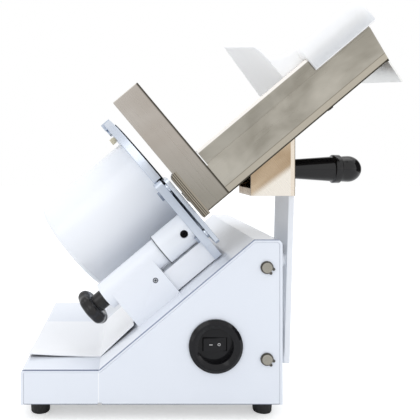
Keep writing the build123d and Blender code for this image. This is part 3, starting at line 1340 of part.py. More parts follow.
def food_tray():
    """Tray of folded sheet: near wall with a top flange, floor, far lip and a three-cornered end apron."""
    t = TRAY_SHEET
    near, far = head_y(TRAY_NEAR), head_y(TRAY_FAR)
    floor_top = TRAY_UNDERSIDE + t
    wall_points = [
        (TRAY_WALL_LEFT, TRAY_UNDERSIDE),
        (TRAY_END - TRAY_END_LEAN, TRAY_UNDERSIDE),
        (TRAY_END, TRAY_TOP),
        (TRAY_WALL_LEFT, TRAY_TOP),
    ]
    wall = sheet_xz(wall_points, near, near + t)
    skin = near + TRAY_JOGGLE
    lift = block(TRAY_WALL_LEFT, TRAY_END, near - OVERRUN, skin, TRAY_JOGGLE_Z, TRAY_TOP + OVERRUN)
    inner_skin = sheet_xz(wall_points, near + t, near + t + TRAY_JOGGLE) & block(
        TRAY_WALL_LEFT, TRAY_END, near, near + t + TRAY_JOGGLE, TRAY_JOGGLE_Z - t, TRAY_TOP
    )
    body = (wall - lift) + inner_skin
    body += block(TRAY_WALL_LEFT, TRAY_END, near + TRAY_JOGGLE, near + TRAY_FLANGE, TRAY_TOP - t, TRAY_TOP)
    floor_right = TRAY_END - TRAY_END_LEAN
    body += block(TRAY_LEFT, floor_right, near, far, TRAY_UNDERSIDE, floor_top)
    body += block(TRAY_LEFT, TRAY_WALL_LEFT, near, near + t, TRAY_UNDERSIDE, TRAY_JOGGLE_Z - t)
    body += block(TRAY_LEFT, floor_right, far - t, far, TRAY_UNDERSIDE, TRAY_UNDERSIDE + TRAY_LIP)
    apron = [(near, t / 2), (near, -APRON_DROP), (far, 0), (far, t / 2)]
    face = make_face(Polyline(*[(-t, y, z) for y, z in apron], close=True))
    apron = Rot(0, APRON_LEAN, 0) * extrude(face, amount=t, dir=(1, 0, 0))
    body += Pos(floor_right - SEAT, 0, TRAY_UNDERSIDE) * apron
    for x, y in tray_bolt_places():
        body -= bar_z(TRAY_BOLT_R + SEAT, TRAY_UNDERSIDE - OVERRUN, floor_top + OVERRUN, x, y)
    return HEAD * body


def tray_bolt_places():
    """The stop bolt under the tray, as (x, y) in the head frame."""
    return [(TRAY_STOP_X, head_y(TRAY_NEAR) + TRAY_FLANGE + TRAY_BOLT_HEAD_R)]


def tray_stop_bolt():
    bolt = socket_screw(
        TRAY_BOLT_R, TRAY_BOLT_HEAD_R, TRAY_BOLT_HEAD, TRAY_SHEET + GAP, TRAY_BOLT_R, TRAY_BOLT_HEAD / 2
    )
    return [HEAD * Pos(x, y, TRAY_UNDERSIDE) * bolt for x, y in tray_bolt_places()]


def fence_plate():
    """Tall folded plate on the tray's near wall, beside the blade."""
    y1 = head_y(TRAY_NEAR) - SEAT
    y0 = y1 - FENCE_SHEET
    body = block(FENCE_LEFT, FENCE_RIGHT, y0, y1, FENCE_BOTTOM, FENCE_TOP)
    body += block(
        FENCE_RIGHT - FENCE_SHEET, FENCE_RIGHT, y1 - OVERRUN, y1 + FENCE_RETURN, TRAY_TOP + GAP, FENCE_TOP
    )
    return HEAD * body


def fence_strip():
    """Grooved strip that carries the food past the blade, behind the fence plate."""
    y0 = head_y(TRAY_NEAR) + TRAY_SHEET + STRIP_NEAR_INSET
    y1 = y0 + STRIP_DEPTH
    body = block(STRIP_LEFT, TRAY_LEFT - GAP, y0, y1, STRIP_BOTTOM, STRIP_TOP)
    floor_top = TRAY_UNDERSIDE + TRAY_SHEET
    body += block(STRIP_LEFT, STRIP_RIGHT, y0, y1, floor_top + GAP, STRIP_TOP)
    top = body.edges().filter_by(Axis.Y).filter_by(lambda e: e.center().Z > STRIP_TOP - GAP)
    body = fillet(top.sort_by(Axis.X)[0], STRIP_CORNER_R)
    for k in range(STRIP_GROOVE_COUNT):
        y = y0 + STRIP_DEPTH * (k + 1) / (STRIP_GROOVE_COUNT + 1)
        g0, g1 = y - STRIP_GROOVE / 2, y + STRIP_GROOVE / 2
        groove_x = STRIP_LEFT + STRIP_GROOVE
        body -= block(STRIP_LEFT - OVERRUN, groove_x, g0, g1, STRIP_BOTTOM - OVERRUN, STRIP_TOP + OVERRUN)
    return HEAD * body


def food_pusher():
    """Moulded pusher: plate across the tray, web along the wall and a cap that rides the flange."""
    wall_near = head_y(TRAY_NEAR)
    cap_near = wall_near - GAP - PUSHER_SKIRT
    cap_far = wall_near + TRAY_FLANGE + GAP + PUSHER_SKIRT
    cap = block(PUSHER_CAP_LEFT, PUSHER_CAP_RIGHT, cap_near, cap_far, PUSHER_SKIRT_BOTTOM, PUSHER_CAP_TOP)
    ends = [e for e in cap.edges().filter_by(Axis.Y) if e.center().Z > PUSHER_CAP_TOP - GAP]
    left_end, right_end = ShapeList(ends).sort_by(Axis.X)
    cap = fillet(left_end, PUSHER_ROUND)
    right_end = [e for e in cap.edges().filter_by(Axis.Y) if e.center().X > PUSHER_CAP_RIGHT - GAP]
    cap = fillet(ShapeList(right_end).sort_by(Axis.Z)[-1], PUSHER_END_ROUND)
    long_top = [e for e in cap.edges().filter_by(Axis.X) if e.center().Z > PUSHER_CAP_TOP - GAP]
    cap = fillet(long_top, PUSHER_SKIRT)
    cap -= block(
        PUSHER_CAP_LEFT - OVERRUN,
        PUSHER_CAP_RIGHT + OVERRUN,
        wall_near - GAP,
        wall_near + TRAY_FLANGE + GAP,
        PUSHER_SKIRT_BOTTOM - OVERRUN,
        TRAY_TOP + GAP,
    )
    plate_right = PUSHER_PLATE_X + PUSHER_PLATE
    web_y0 = wall_near + TRAY_FLANGE + GAP
    web = [
        (PUSHER_PLATE_X, TRAY_UNDERSIDE + TRAY_SHEET + PUSHER_PLATE_CLEAR),
        (PUSHER_PLATE_X, PUSHER_CAP_TOP + PUSHER_ROUND),
        (plate_right, PUSHER_CAP_TOP + PUSHER_ROUND),
        (plate_right + PUSHER_ROUND, PUSHER_CAP_TOP + PUSHER_SHELL),
        (PUSHER_CAP_LEFT + PUSHER_ROUND, PUSHER_CAP_TOP - PUSHER_SHELL),
        (PUSHER_CAP_LEFT + PUSHER_ROUND + PUSHER_CAP_TOP, PUSHER_SKIRT_BOTTOM),
        (plate_right + PUSHER_ROUND, TRAY_UNDERSIDE + TRAY_SHEET + PUSHER_PLATE_CLEAR),
    ]
    body = cap + sheet_xz(web, web_y0, web_y0 + PUSHER_WEB)
    z0 = TRAY_UNDERSIDE + TRAY_SHEET + PUSHER_PLATE_CLEAR
    plate = [
        (web_y0, z0),
        (web_y0, PUSHER_CAP_TOP + PUSHER_ROUND),
        (head_y(PUSHER_PLATE_NEAR), PUSHER_PLATE_TOP_NEAR),
        (head_y(PUSHER_PLATE_FAR_TOP), PUSHER_PLATE_TOP_FAR),
        (head_y(PUSHER_PLATE_FAR_BOTTOM), z0),
    ]
    face = make_face(Polyline(*[(0, y, z) for y, z in plate], close=True))
    body += Pos(PUSHER_PLATE_X, 0, 0) * extrude(face, amount=PUSHER_PLATE, dir=(1, 0, 0))
    return HEAD * body


def run_capacitor():
    """The motor's capacitor, standing on the bottom plate inside the base."""
    z0 = CASE_BOTTOM + BOTTOM_SHEET
    body = bar_z(CAPACITOR_R, z0, z0 + CAPACITOR_HEIGHT, CAPACITOR_X, CAPACITOR_Y)
    for side in (-1, 1):
        x = CAPACITOR_X + side * CAPACITOR_R / 2
        body += block(
            x - TERMINAL_THICKNESS / 2,
            x + TERMINAL_THICKNESS / 2,
            CAPACITOR_Y - TERMINAL_WIDTH / 2,
            CAPACITOR_Y + TERMINAL_WIDTH / 2,
            z0 + CAPACITOR_HEIGHT,
            z0 + CAPACITOR_HEIGHT + TERMINAL_LENGTH,
        )
    return body


def cable_gland():
    """Gland body in the far panel, with its bore for the cable."""
    y0 = BASE_DEPTH
    body = bar_y(GLAND_THREAD_R, y0 - GLAND_TAIL, y0)
    body += Pos(0, y0, 0) * Rot(-90, 0, 0) * extrude(RegularPolygon(GLAND_HEX_R, 6), GLAND_HEX)
    dome = bar_y(GLAND_DOME_R, y0 + GLAND_HEX, y0 + GLAND_HEX + GLAND_DOME)
    dome = fillet(dome.edges().sort_by(Axis.Y)[-1], GLAND_DOME_R / 3)
    body += dome
    body -= bar_y(GLAND_BORE_R, y0 - GLAND_TAIL - OVERRUN, y0 + GLAND_HEX + GLAND_DOME + OVERRUN)
    return Pos(GLAND_X, 0, GLAND_Z) * body


def gland_nut():
    y1 = BASE_DEPTH - SHEET
    nut = Rot(90, 0, 0) * extrude(RegularPolygon(GLAND_HEX_R, 6), GLAND_NUT)
    nut -= bar_y(GLAND_THREAD_R + SEAT, -GLAND_NUT - OVERRUN, OVERRUN)
    return Pos(GLAND_X, y1, GLAND_Z) * nut


def all_pieces():
    """Every node by name, in the base frame."""
    return {
        "base_shell": base_shell(),
        "base_side_near": base_side_near(),
        "base_side_far": base_side_far(),
        "bottom_plate": bottom_plate(),
        "rubber_feet": rubber_feet(),
        "foot_screws": foot_screws(),
        "slide_rods": slide_rods(),
        "rod_clips": rod_clips(),
        "switch_bezel": switch_bezel(),
        "rocker_switch": rocker_switch(),
        "switch_body": switch_body(),
        "receiving_sheet": receiving_sheet(),
        "motor_housing": motor_housing(),
        "slope_bolts": slope_bolts(),
        "motor_end_cap": motor_end_cap(),
        "motor_bolts": motor_bolts(),
        "motor_plate": motor_plate(),
        "rotor_bearings": rotor_bearings(),
        "motor_stator": motor_stator(),
        "stator_windings": stator_windings(),
        "motor_rotor": motor_rotor(),
        "layshaft": layshaft(),
        "blade_gear": blade_gear(),
        "gearbox_plate": gearbox_plate(),
        "blade_bearing": blade_bearing(),
        "blade_shaft": blade_shaft(),
        "blade": blade(),
        "hub_cover": hub_cover(),
        "blade_screws": blade_screws(),
        "ring_guard": ring_guard(),
        "ring_screws": ring_screws(),
        "thumb_screw": thumb_screw(),
        "run_capacitor": run_capacitor(),
        "cable_gland": cable_gland(),
        "gland_nut": gland_nut(),
        "adjuster_block": adjuster_block(),
        "roll_pin": roll_pin(),
        "adjuster_spindle": adjuster_spindle(),
        "thickness_knob": thickness_knob(),
        "knob_screw": knob_screw(),
        "gauge_boss": gauge_boss(),
        "grub_screw": grub_screw(),
        "slide_bar": slide_bar(),
        "gauge_carrier": gauge_carrier(),
        "gauge_plate": gauge_plate(),
        "gauge_screws": gauge_screws(),
        "bearing_block": bearing_block(),
        "slide_bushes": slide_bushes(),
        "guide_fork": guide_fork(),
        "carriage_arm": carriage_arm(),
        "arm_screws": arm_screws(),
        "tray_bracket": tray_bracket(),
        "bracket_bolts": bracket_bolts(),
        "carriage_handle": carriage_handle(),
        "handle_stud": handle_stud(),
        "food_tray": food_tray(),
        "tray_stop_bolt": tray_stop_bolt(),
        "fence_plate": fence_plate(),
        "fence_strip": fence_strip(),
        "food_pusher": food_pusher(),
    }


def as_shape(piece):
    """One shape for a node: a group of like pieces becomes one compound of their solids."""
    members = piece if isinstance(piece, list) else [piece]
    solids = [solid for member in members for solid in member.solids()]
    return solids[0] if len(solids) == 1 else Compound(solids)


def bottom_centre_shift(shapes):
    """The shift that puts the origin at the bottom centre of all shapes together."""
    boxes = [shape.bounding_box() for shape in shapes]
    x = [box.min.X for box in boxes], [box.max.X for box in boxes]
    y = [box.min.Y for box in boxes], [box.max.Y for box in boxes]
    return (-(min(x[0]) + max(x[1])) / 2, -(min(y[0]) + max(y[1])) / 2, -min(box.min.Z for box in boxes))


os.makedirs("parts", exist_ok=True)
pieces = {name: as_shape(piece) for name, piece in all_pieces().items()}
SHIFT = bottom_centre_shift(pieces.values())
for name, piece in pieces.items():
    export_step(Pos(*SHIFT) * piece, f"parts/{name}.step")
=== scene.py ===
import json
from math import cos, pi, radians, sin

import bmesh
import bpy
from mathutils import Matrix, Vector


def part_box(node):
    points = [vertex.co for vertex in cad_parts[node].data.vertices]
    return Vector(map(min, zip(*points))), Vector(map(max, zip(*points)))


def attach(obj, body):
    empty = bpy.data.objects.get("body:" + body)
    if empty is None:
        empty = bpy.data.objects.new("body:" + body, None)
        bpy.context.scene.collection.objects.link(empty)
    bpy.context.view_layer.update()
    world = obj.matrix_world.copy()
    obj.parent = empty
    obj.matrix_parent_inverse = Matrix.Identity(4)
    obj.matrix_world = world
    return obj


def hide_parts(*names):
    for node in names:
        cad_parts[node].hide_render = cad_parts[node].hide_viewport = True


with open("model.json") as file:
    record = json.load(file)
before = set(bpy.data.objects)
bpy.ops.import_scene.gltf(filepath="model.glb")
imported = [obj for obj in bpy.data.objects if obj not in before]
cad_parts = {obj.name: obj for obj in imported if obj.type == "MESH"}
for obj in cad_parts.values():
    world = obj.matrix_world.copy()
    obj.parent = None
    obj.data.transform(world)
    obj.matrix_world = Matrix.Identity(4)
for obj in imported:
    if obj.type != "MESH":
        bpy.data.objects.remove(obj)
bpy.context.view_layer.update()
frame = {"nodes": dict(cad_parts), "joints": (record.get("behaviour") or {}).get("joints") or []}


# Studio: a pale paper floor, a white surround and five large soft lamps. The surround is plain white to
# the camera and to shiny surfaces and a little softer to the rest, so the floor keeps a shadow.
scene = bpy.context.scene
scene.view_settings.view_transform = "Standard"


def node(tree, kind, inputs=None, **settings):
    """Adds a shader or geometry node, sets its fields, and fills or links its inputs.

    An input goes by its name, or by its number where names repeat, as 6 and 7 for a mix's two colours.
    """
    made = tree.nodes.new(kind)
    for key, value in settings.items():
        setattr(made, key, value)
    for key, value in (inputs or {}).items():
        if isinstance(value, bpy.types.NodeSocket):
            tree.links.new(value, made.inputs[key])
        else:
            made.inputs[key].default_value = value
    return made


def paint(code):
    """An sRGB hex colour as linear RGBA."""
    parts = [int(code[i:i + 2], 16) / 255 for i in (1, 3, 5)]
    return [c / 12.92 if c <= 0.04045 else ((c + 0.055) / 1.055) ** 2.4 for c in parts] + [1.0]


surround = bpy.data.worlds.new("white_surround")
scene.world = surround
surround.use_nodes = True
sky = surround.node_tree
sky.nodes.clear()
rays = node(sky, "ShaderNodeLightPath")
seen = node(sky, "ShaderNodeMath", {0: rays.outputs["Is Camera Ray"], 1: rays.outputs["Is Glossy Ray"]},
            operation="MAXIMUM")
seen = node(sky, "ShaderNodeMath", {0: seen.outputs[0], 1: rays.outputs["Is Transmission Ray"]},
            operation="MAXIMUM")
soft = node(sky, "ShaderNodeBackground", {"Color": paint("#F3F5FA"), "Strength": 1.0})
plain = node(sky, "ShaderNodeBackground", {"Color": paint("#FFFFFF"), "Strength": 1.0})
both = node(sky, "ShaderNodeMixShader", {0: seen.outputs[0], 1: soft.outputs[0], 2: plain.outputs[0]})
node(sky, "ShaderNodeOutputWorld", {"Surface": both.outputs[0]})

# Matt paper: it takes the shadow like a pale wall, and glows a little to the camera, so it looks white.
paper = bpy.data.materials.new("matt_studio_paper")
paper.use_nodes = True
tree = paper.node_tree
tree.nodes.clear()
rays = node(tree, "ShaderNodeLightPath")
matt = node(tree, "ShaderNodeBsdfDiffuse", {"Color": paint("#EDEDEB")})
lift = node(tree, "ShaderNodeMath", {0: rays.outputs["Is Camera Ray"], 1: 0.42}, operation="MULTIPLY")
glow = node(tree, "ShaderNodeEmission", {"Color": paint("#FFFFFF"), "Strength": lift.outputs[0]})
both = node(tree, "ShaderNodeAddShader", {0: matt.outputs[0], 1: glow.outputs[0]})
node(tree, "ShaderNodeOutputMaterial", {"Surface": both.outputs[0]})


def panel(name, width, depth, material):
    """A flat rectangle of the studio, about the origin."""
    x, y = width / 2, depth / 2
    mesh = bpy.data.meshes.new(name)
    mesh.from_pydata([(-x, -y, 0), (x, -y, 0), (x, y, 0), (-x, y, 0)], [], [(0, 1, 2, 3)])
    mesh.materials.append(material)
    made = bpy.data.objects.new(name, mesh)
    scene.collection.objects.link(made)
    return made


def aim(made, place, target):
    """Puts a lamp or a card at a place and turns it towards a point."""
    made.location = place
    made.rotation_euler = (Vector(target) - Vector(place)).to_track_quat("-Z", "Y").to_euler()


def new_material(name, **sockets):
    """A material with its principled shader's own sockets set; returns it with its tree and shader."""
    made = bpy.data.materials.new(name)
    made.use_nodes = True
    shader = made.node_tree.nodes["Principled BSDF"]
    for key, value in sockets.items():
        shader.inputs[key.replace("_", " ")].default_value = value
    return made, made.node_tree, shader


panel("studio_floor", width=12.0, depth=12.0, material=paper)

# Each lamp: where it stands and the point that it looks at, in metres, its width and its watts.
for name, place, target, width, watts in (
        ("key_lamp", (-1.3, -1.5, 1.9), (0, 0, 0.2), 1.6, 7),
        ("top_lamp", (0.3, 0.2, 2.4), (0, 0, 0.2), 1.8, 12),
        ("right_lamp", (1.8, -0.6, 0.9), (0, 0, 0.25), 1.2, 3),
        ("low_left_lamp", (-1.7, -0.7, 0.1), (0.05, 0, 0.35), 1.0, 2),
        ("low_right_lamp", (0.9, -1.0, 0.1), (-0.1, 0, 0.3), 0.8, 0.4)):
    light = bpy.data.lights.new(name, "AREA")
    light.shape = "SQUARE"
    light.size = width
    light.energy = watts
    lamp = bpy.data.objects.new(name, light)
    aim(lamp, place, target)
    scene.collection.objects.link(lamp)

# A dull black card stands at the right. Only shiny surfaces see it, and it draws a line along their bends.
card_black, tree, shader = new_material("dull_black_card", Base_Color=paint("#2A2622"), Roughness=0.9)
card = panel("right_flag", width=1.6, depth=1.5, material=card_black)
aim(card, (1.3, 0.0, 0.5), (0, 0, 0.4))
card.visible_camera = card.visible_diffuse = card.visible_shadow = False

# Camera: level and square to the base's near side, as the photograph was taken. Its picture is shifted
# until the edges that run away from it meet at the photograph's vanishing point. A pixel of the
# photograph covers 1.15 mm of that side.
picture, vanishing_x, vanishing_y = 420, 125, 163
pixel = 0.0011494
eye_from_end, eye_before_side, eye_height = 0.1198, 0.623, 0.296
shell_low, shell_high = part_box("base_shell")
camera_data = bpy.data.cameras.new("camera")
camera_data.sensor_width = 36.0
camera_data.lens = camera_data.sensor_width * eye_before_side / (picture * pixel)
camera_data.shift_x = (picture / 2 - vanishing_x) / picture
camera_data.shift_y = (vanishing_y - picture / 2) / picture
camera = bpy.data.objects.new("camera", camera_data)
camera.location = (shell_low.x + eye_from_end, shell_low.y - eye_before_side, eye_height)
camera.rotation_euler = (pi / 2, 0, 0)
scene.collection.objects.link(camera)
scene.camera = camera


# Base: steel sheet folded over the platform, the slope, the top and both ends, with flat sides set in
# along its edges. It is pressed, welded and coated with baked white enamel.
tilt = radians(40)
across = Vector((cos(tilt), 0, sin(tilt)))
up_slope = Vector((-sin(tilt), 0, cos(tilt)))


def object_place(tree, size, turn=0.0):
    """Object coordinates turned about y, where one unit is a pattern's real size in mm.

    The size is one number, or three for x, y and z.
    """
    sides = size if isinstance(size, tuple) else (size, size, size)
    where = node(tree, "ShaderNodeTexCoord")
    way = node(tree, "ShaderNodeMapping", {"Vector": where.outputs["Object"], "Rotation": (0, turn, 0)})
    scale = [1000 / side for side in sides]
    return node(tree, "ShaderNodeMapping", {"Vector": way.outputs[0], "Scale": scale}).outputs[0]


def enamelled(name, colour, shade, peel):
    """Baked enamel, sprayed and stoved: a glossy skin over a ground whose tone drifts over 111 mm.

    The eye gets bright highlights with a faintly wavy edge. A wave of the orange peel is peel mm wide.
    """
    made, tree, shader = new_material(name, Roughness=0.22, IOR=1.5, Coat_Weight=0.35, Coat_Roughness=0.08)
    drift = node(tree, "ShaderNodeTexNoise", {"Vector": object_place(tree, 111), "Scale": 1.0, "Detail": 2.0})
    tone = node(tree, "ShaderNodeMix", {"Factor": drift.outputs[0], 6: paint(colour), 7: paint(shade)},
                data_type="RGBA")
    tree.links.new(tone.outputs[2], shader.inputs["Base Color"])
    skin = object_place(tree, peel)
    waves = node(tree, "ShaderNodeTexNoise", {"Vector": skin, "Scale": 1.0, "Detail": 1.0})
    bump = node(tree, "ShaderNodeBump", {"Height": waves.outputs[0], "Strength": 0.035, "Distance": 0.0004})
    tree.links.new(bump.outputs[0], shader.inputs["Normal"])
    return made


def tinted(material, share, colour):
    """Lays a further colour over a material's own, by a share from 0 to 1."""
    tree = material.node_tree
    ground = tree.nodes["Principled BSDF"].inputs["Base Color"]
    mixed = node(tree, "ShaderNodeMix", {"Factor": share, 6: ground.links[0].from_socket, 7: paint(colour)},
                 data_type="RGBA")
    tree.links.new(mixed.outputs[2], ground)


def shaded(material, *limits, colour):
    """Tints a material past distances along axes, as painted shade where a bend, an edge or a seam darkens,
    or painted light where one catches it.

    Each limit is an axis, the distance along it where the tint begins, and how far it takes to be full.
    """
    tree = material.node_tree
    where = node(tree, "ShaderNodeTexCoord")
    share = 1.0
    for axis, start, fade in limits:
        along = node(tree, "ShaderNodeVectorMath", {0: where.outputs["Object"], 1: tuple(axis)},
                     operation="DOT_PRODUCT")
        past = node(tree, "ShaderNodeMapRange", {"Value": along.outputs["Value"], "From Min": start,
                                                 "From Max": start + fade}, interpolation_type="SMOOTHSTEP")
        share = node(tree, "ShaderNodeMath", {0: past.outputs[0], 1: share}, operation="MULTIPLY").outputs[0]
    tinted(material, share, colour)


def reach(source, axis):
    """How far a solid reaches along an axis from the origin, at both ends."""
    along = [axis.dot(v.co) for v in frame["nodes"][source].data.vertices]
    return min(along), max(along)


# The sheet's near edge laps over the side: a fine line of painted shade along it shows the seam. The side has
# a pale weld line under the fold, and darkens at its foot. A wave of the orange peel is 2.5 mm wide.
sheet_peel = 2.5
sheet_enamel = enamelled("baked_enamel_on_steel_sheet", "#E9EDF4", "#E4E9F1", sheet_peel)
side_enamel = enamelled("baked_enamel_on_side_panel", "#E9EDF4", "#E4E9F1", sheet_peel)
platform_z, platform_length = 0.058, 0.0899
fold_x = shell_low.x + platform_length
slope_z = up_slope.dot((fold_x, 0, platform_z))
seam_width, seam_fade = 0.0013, 0.0005
near_band, near_fade = 0.0016, 0.0003
near_edge = ((0, -1, 0), -(shell_low.y + near_band), near_fade)
on_platform = ((-1, 0, 0), -fold_x, seam_fade)
on_slope = ((1, 0, 0), fold_x, seam_fade)
below_top = ((0, 0, -1), -shell_high.z, 2 * seam_fade)
shaded(sheet_enamel, ((0, 0, 1), platform_z - seam_width, seam_fade), near_edge, on_platform,
       colour="#66718A")
shaded(sheet_enamel, (up_slope, slope_z - seam_width, seam_fade), near_edge, on_slope, below_top,
       colour="#7D88A0")
shaded(sheet_enamel, ((0, 0, 1), shell_high.z - seam_width, seam_fade), near_edge, colour="#7D88A0")
weld_inset, weld_half, weld_fade = 0.0008, 0.0010, 0.0006
weld_x = fold_x - weld_inset
shaded(side_enamel, ((1, 0, 0), weld_x - weld_fade, weld_fade),
       ((-1, 0, 0), -(weld_x + weld_half), weld_fade), colour="#F8FAFD")
side_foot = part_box("base_side_near")[0].z
foot_band, foot_fade = 0.0016, 0.0010
shaded(side_enamel, ((0, 0, -1), -(side_foot + foot_band), foot_fade), colour="#6E7688")


def cover(mesh, material):
    """Gives the whole of a mesh one material."""
    mesh.materials.clear()
    mesh.materials.append(material)
    mesh.polygons.foreach_set("material_index", [0] * len(mesh.polygons))


def put(name, mesh, material):
    """An object at the origin for a finished mesh, smooth but for its sharp edges."""
    mesh.name = name
    cover(mesh, material)
    mesh.polygons.foreach_set("use_smooth", [True] * len(mesh.polygons))
    mesh.set_sharp_from_angle(angle=radians(32))
    made = bpy.data.objects.new(name, mesh)
    scene.collection.objects.link(made)
    return made


def mesh_of(form, name):
    """Turns a finished form into a mesh."""
    mesh = bpy.data.meshes.new(name)
    form.to_mesh(mesh)
    form.free()
    return mesh


def solid(source):
    """The mesh of a solid, merged and with its flat faces made whole."""
    form = bmesh.new()
    form.from_mesh(frame["nodes"][source].data)
    bmesh.ops.remove_doubles(form, verts=form.verts, dist=0.00001)
    bmesh.ops.dissolve_limit(form, angle_limit=radians(1), verts=form.verts, edges=form.edges)
    return mesh_of(form, source)


def fitted(piece, body, source):
    """Lets a finished piece ride on its body, and stand for its solid."""
    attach(piece, body)
    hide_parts(source)


def dressed(name, source, material, body, edge, steps=2):
    """A solid's own form with a finish and its edges rounded, in the solid's place."""
    piece = put(name, solid(source), material)
    bevel = piece.modifiers.new("eased_edges", "BEVEL")
    bevel.width = edge
    bevel.segments = steps
    bevel.limit_method = "ANGLE"
    bevel.angle_limit = radians(35)
    bevel.harden_normals = True
    fitted(piece, body, source)
    return piece


dressed("base_sheet", "base_shell", sheet_enamel, "base", edge=0.0011, steps=3)
dressed("base_near_side", "base_side_near", side_enamel, "base", edge=0.0010, steps=3)
dressed("base_far_side", "base_side_far", side_enamel, "base", edge=0.0004)

# Feet: four tapered rubber buffers, moulded with a rounded rim, each held up into a corner of the base
# by a screw through its middle. One is turned, and a geometry tree sets it at the four corners.
rubber, tree, shader = new_material("moulded_black_rubber", Base_Color=paint("#1B1B1C"), Roughness=0.62,
                                    IOR=1.52)
# Rubber off a blasted mould: grit, drawn 0.67 mm coarse so that it shows, leaves it black and dull.
grit = node(tree, "ShaderNodeTexNoise", {"Vector": object_place(tree, 0.667), "Scale": 1.0, "Detail": 2.0})
bump = node(tree, "ShaderNodeBump", {"Height": grit.outputs[0], "Strength": 0.12, "Distance": 0.0003})
tree.links.new(bump.outputs[0], shader.inputs["Normal"])


def softened(points, radius, steps=4, share=0.45):
    """An outline with its inner corners rounded, by at most a share of a side; its two ends stay."""
    made = [Vector(points[0])]
    for before, corner, after in zip(points, points[1:], points[2:]):
        corner = Vector(corner)
        one, two = Vector(before) - corner, Vector(after) - corner
        cut = min(radius, one.length * share, two.length * share)
        start, end = corner + one.normalized() * cut, corner + two.normalized() * cut
        for k in range(steps + 1):
            t = k / steps
            made.append(start * (1 - t) ** 2 + corner * 2 * t * (1 - t) + end * t ** 2)
    return made + [Vector(points[-1])]


def turned(profile, place, segments=96):
    """A closed body turned about local x from (x, radius) points that start and end on the axis."""
    form = bmesh.new()
    rings = []
    for x, r in profile:
        if r < 1e-7:
            rings.append([form.verts.new((x, 0, 0))])
        else:
            rings.append([form.verts.new((x, r * cos(2 * pi * k / segments), r * sin(2 * pi * k / segments)))
                          for k in range(segments)])
    for one, two in zip(rings, rings[1:]):
        for k in range(segments):
            following = (k + 1) % segments
            corners = [one[k % len(one)], one[following % len(one)],
                       two[following % len(two)], two[k % len(two)]]
            corners = list(dict.fromkeys(corners))
            if len(corners) > 2:
                form.faces.new(corners)
    bmesh.ops.recalc_face_normals(form, faces=form.faces)
    bmesh.ops.transform(form, matrix=place, verts=form.verts)
    return mesh_of(form, "turned")


def pattern_tree(name, **sizes):
    """A geometry tree for a pattern piece, its finish and named sizes; returns it with its input node."""
    tree = bpy.data.node_groups.new(name, "GeometryNodeTree")
    tree.interface.new_socket("Pattern", in_out="INPUT", socket_type="NodeSocketObject")
    tree.interface.new_socket("Finish", in_out="INPUT", socket_type="NodeSocketMaterial")
    for label, size in sizes.items():
        kind = "NodeSocketVector" if isinstance(size, tuple) else "NodeSocketFloat"
        tree.interface.new_socket(label, in_out="INPUT", socket_type=kind).default_value = size
    tree.interface.new_socket("Geometry", in_out="OUTPUT", socket_type="NodeSocketGeometry")
    return tree, tree.nodes.new("NodeGroupInput")


def end_tree(tree, given, geometry):
    """Ends a geometry tree: its instances are made real and take the finish."""
    real = node(tree, "GeometryNodeRealizeInstances", {"Geometry": geometry})
    finish = node(tree, "GeometryNodeSetMaterial", {"Geometry": real.outputs[0],
                                                    "Material": given.outputs["Finish"]})
    node(tree, "NodeGroupOutput", {0: finish.outputs[0]})


def grown(name, tree, pattern, material, sizes):
    """A plain mesh object made by a geometry tree from a pattern piece, which is taken away again."""
    values = {"Pattern": pattern, "Finish": material, **sizes}
    carrier = bpy.data.objects.new(name + "_carrier", bpy.data.meshes.new(name + "_carrier"))
    scene.collection.objects.link(carrier)
    modifier = carrier.modifiers.new(tree.name, "NODES")
    modifier.node_group = tree
    for item in tree.interface.items_tree:
        if item.in_out == "INPUT" and item.name in values:
            modifier[item.identifier] = values[item.name]
    graph = bpy.context.evaluated_depsgraph_get()
    mesh = bpy.data.meshes.new_from_object(carrier.evaluated_get(graph))
    carrier.modifiers.remove(modifier)
    bpy.data.objects.remove(carrier)
    bpy.data.objects.remove(pattern)
    return put(name, mesh, material)


def set_on_corners(name):
    """A tree that sets one pattern piece at the corners of a rectangle."""
    tree, given = pattern_tree(name, Length=1.0, Depth=1.0, Centre=(0, 0, 0))
    grid = node(tree, "GeometryNodeMeshGrid", {"Size X": given.outputs["Length"],
                                               "Size Y": given.outputs["Depth"],
                                               "Vertices X": 2, "Vertices Y": 2})
    moved = node(tree, "GeometryNodeTransform", {"Geometry": grid.outputs[0],
                                                 "Translation": given.outputs["Centre"]})
    pattern = node(tree, "GeometryNodeObjectInfo", {"Object": given.outputs["Pattern"]})
    spread = node(tree, "GeometryNodeInstanceOnPoints", {"Points": moved.outputs[0],
                                                         "Instance": pattern.outputs["Geometry"]})
    end_tree(tree, given, spread.outputs[0])
    return tree


foot_low, foot_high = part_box("rubber_feet")
foot_height = foot_high.z - foot_low.z
foot_r, foot_tread_r, foot_middle_r, foot_rim = 0.012, 0.0110, 0.0052, 0.0016
foot_profile = [(0, 0), (0, foot_middle_r), (0, foot_tread_r), (foot_height, foot_r), (foot_height, 0)]
upright = Matrix.Rotation(-pi / 2, 4, "Y")
foot = put("foot_pattern", turned(softened(foot_profile, foot_rim), upright, 48), rubber)
feet = grown("rubber_buffers", set_on_corners("feet_at_four_corners"), foot, rubber, {
    "Length": foot_high.x - foot_low.x - 2 * foot_r,
    "Depth": foot_high.y - foot_low.y - 2 * foot_r,
    "Centre": (*((foot_low + foot_high) / 2).xy, 0.0)})
fitted(feet, "base", "rubber_feet")


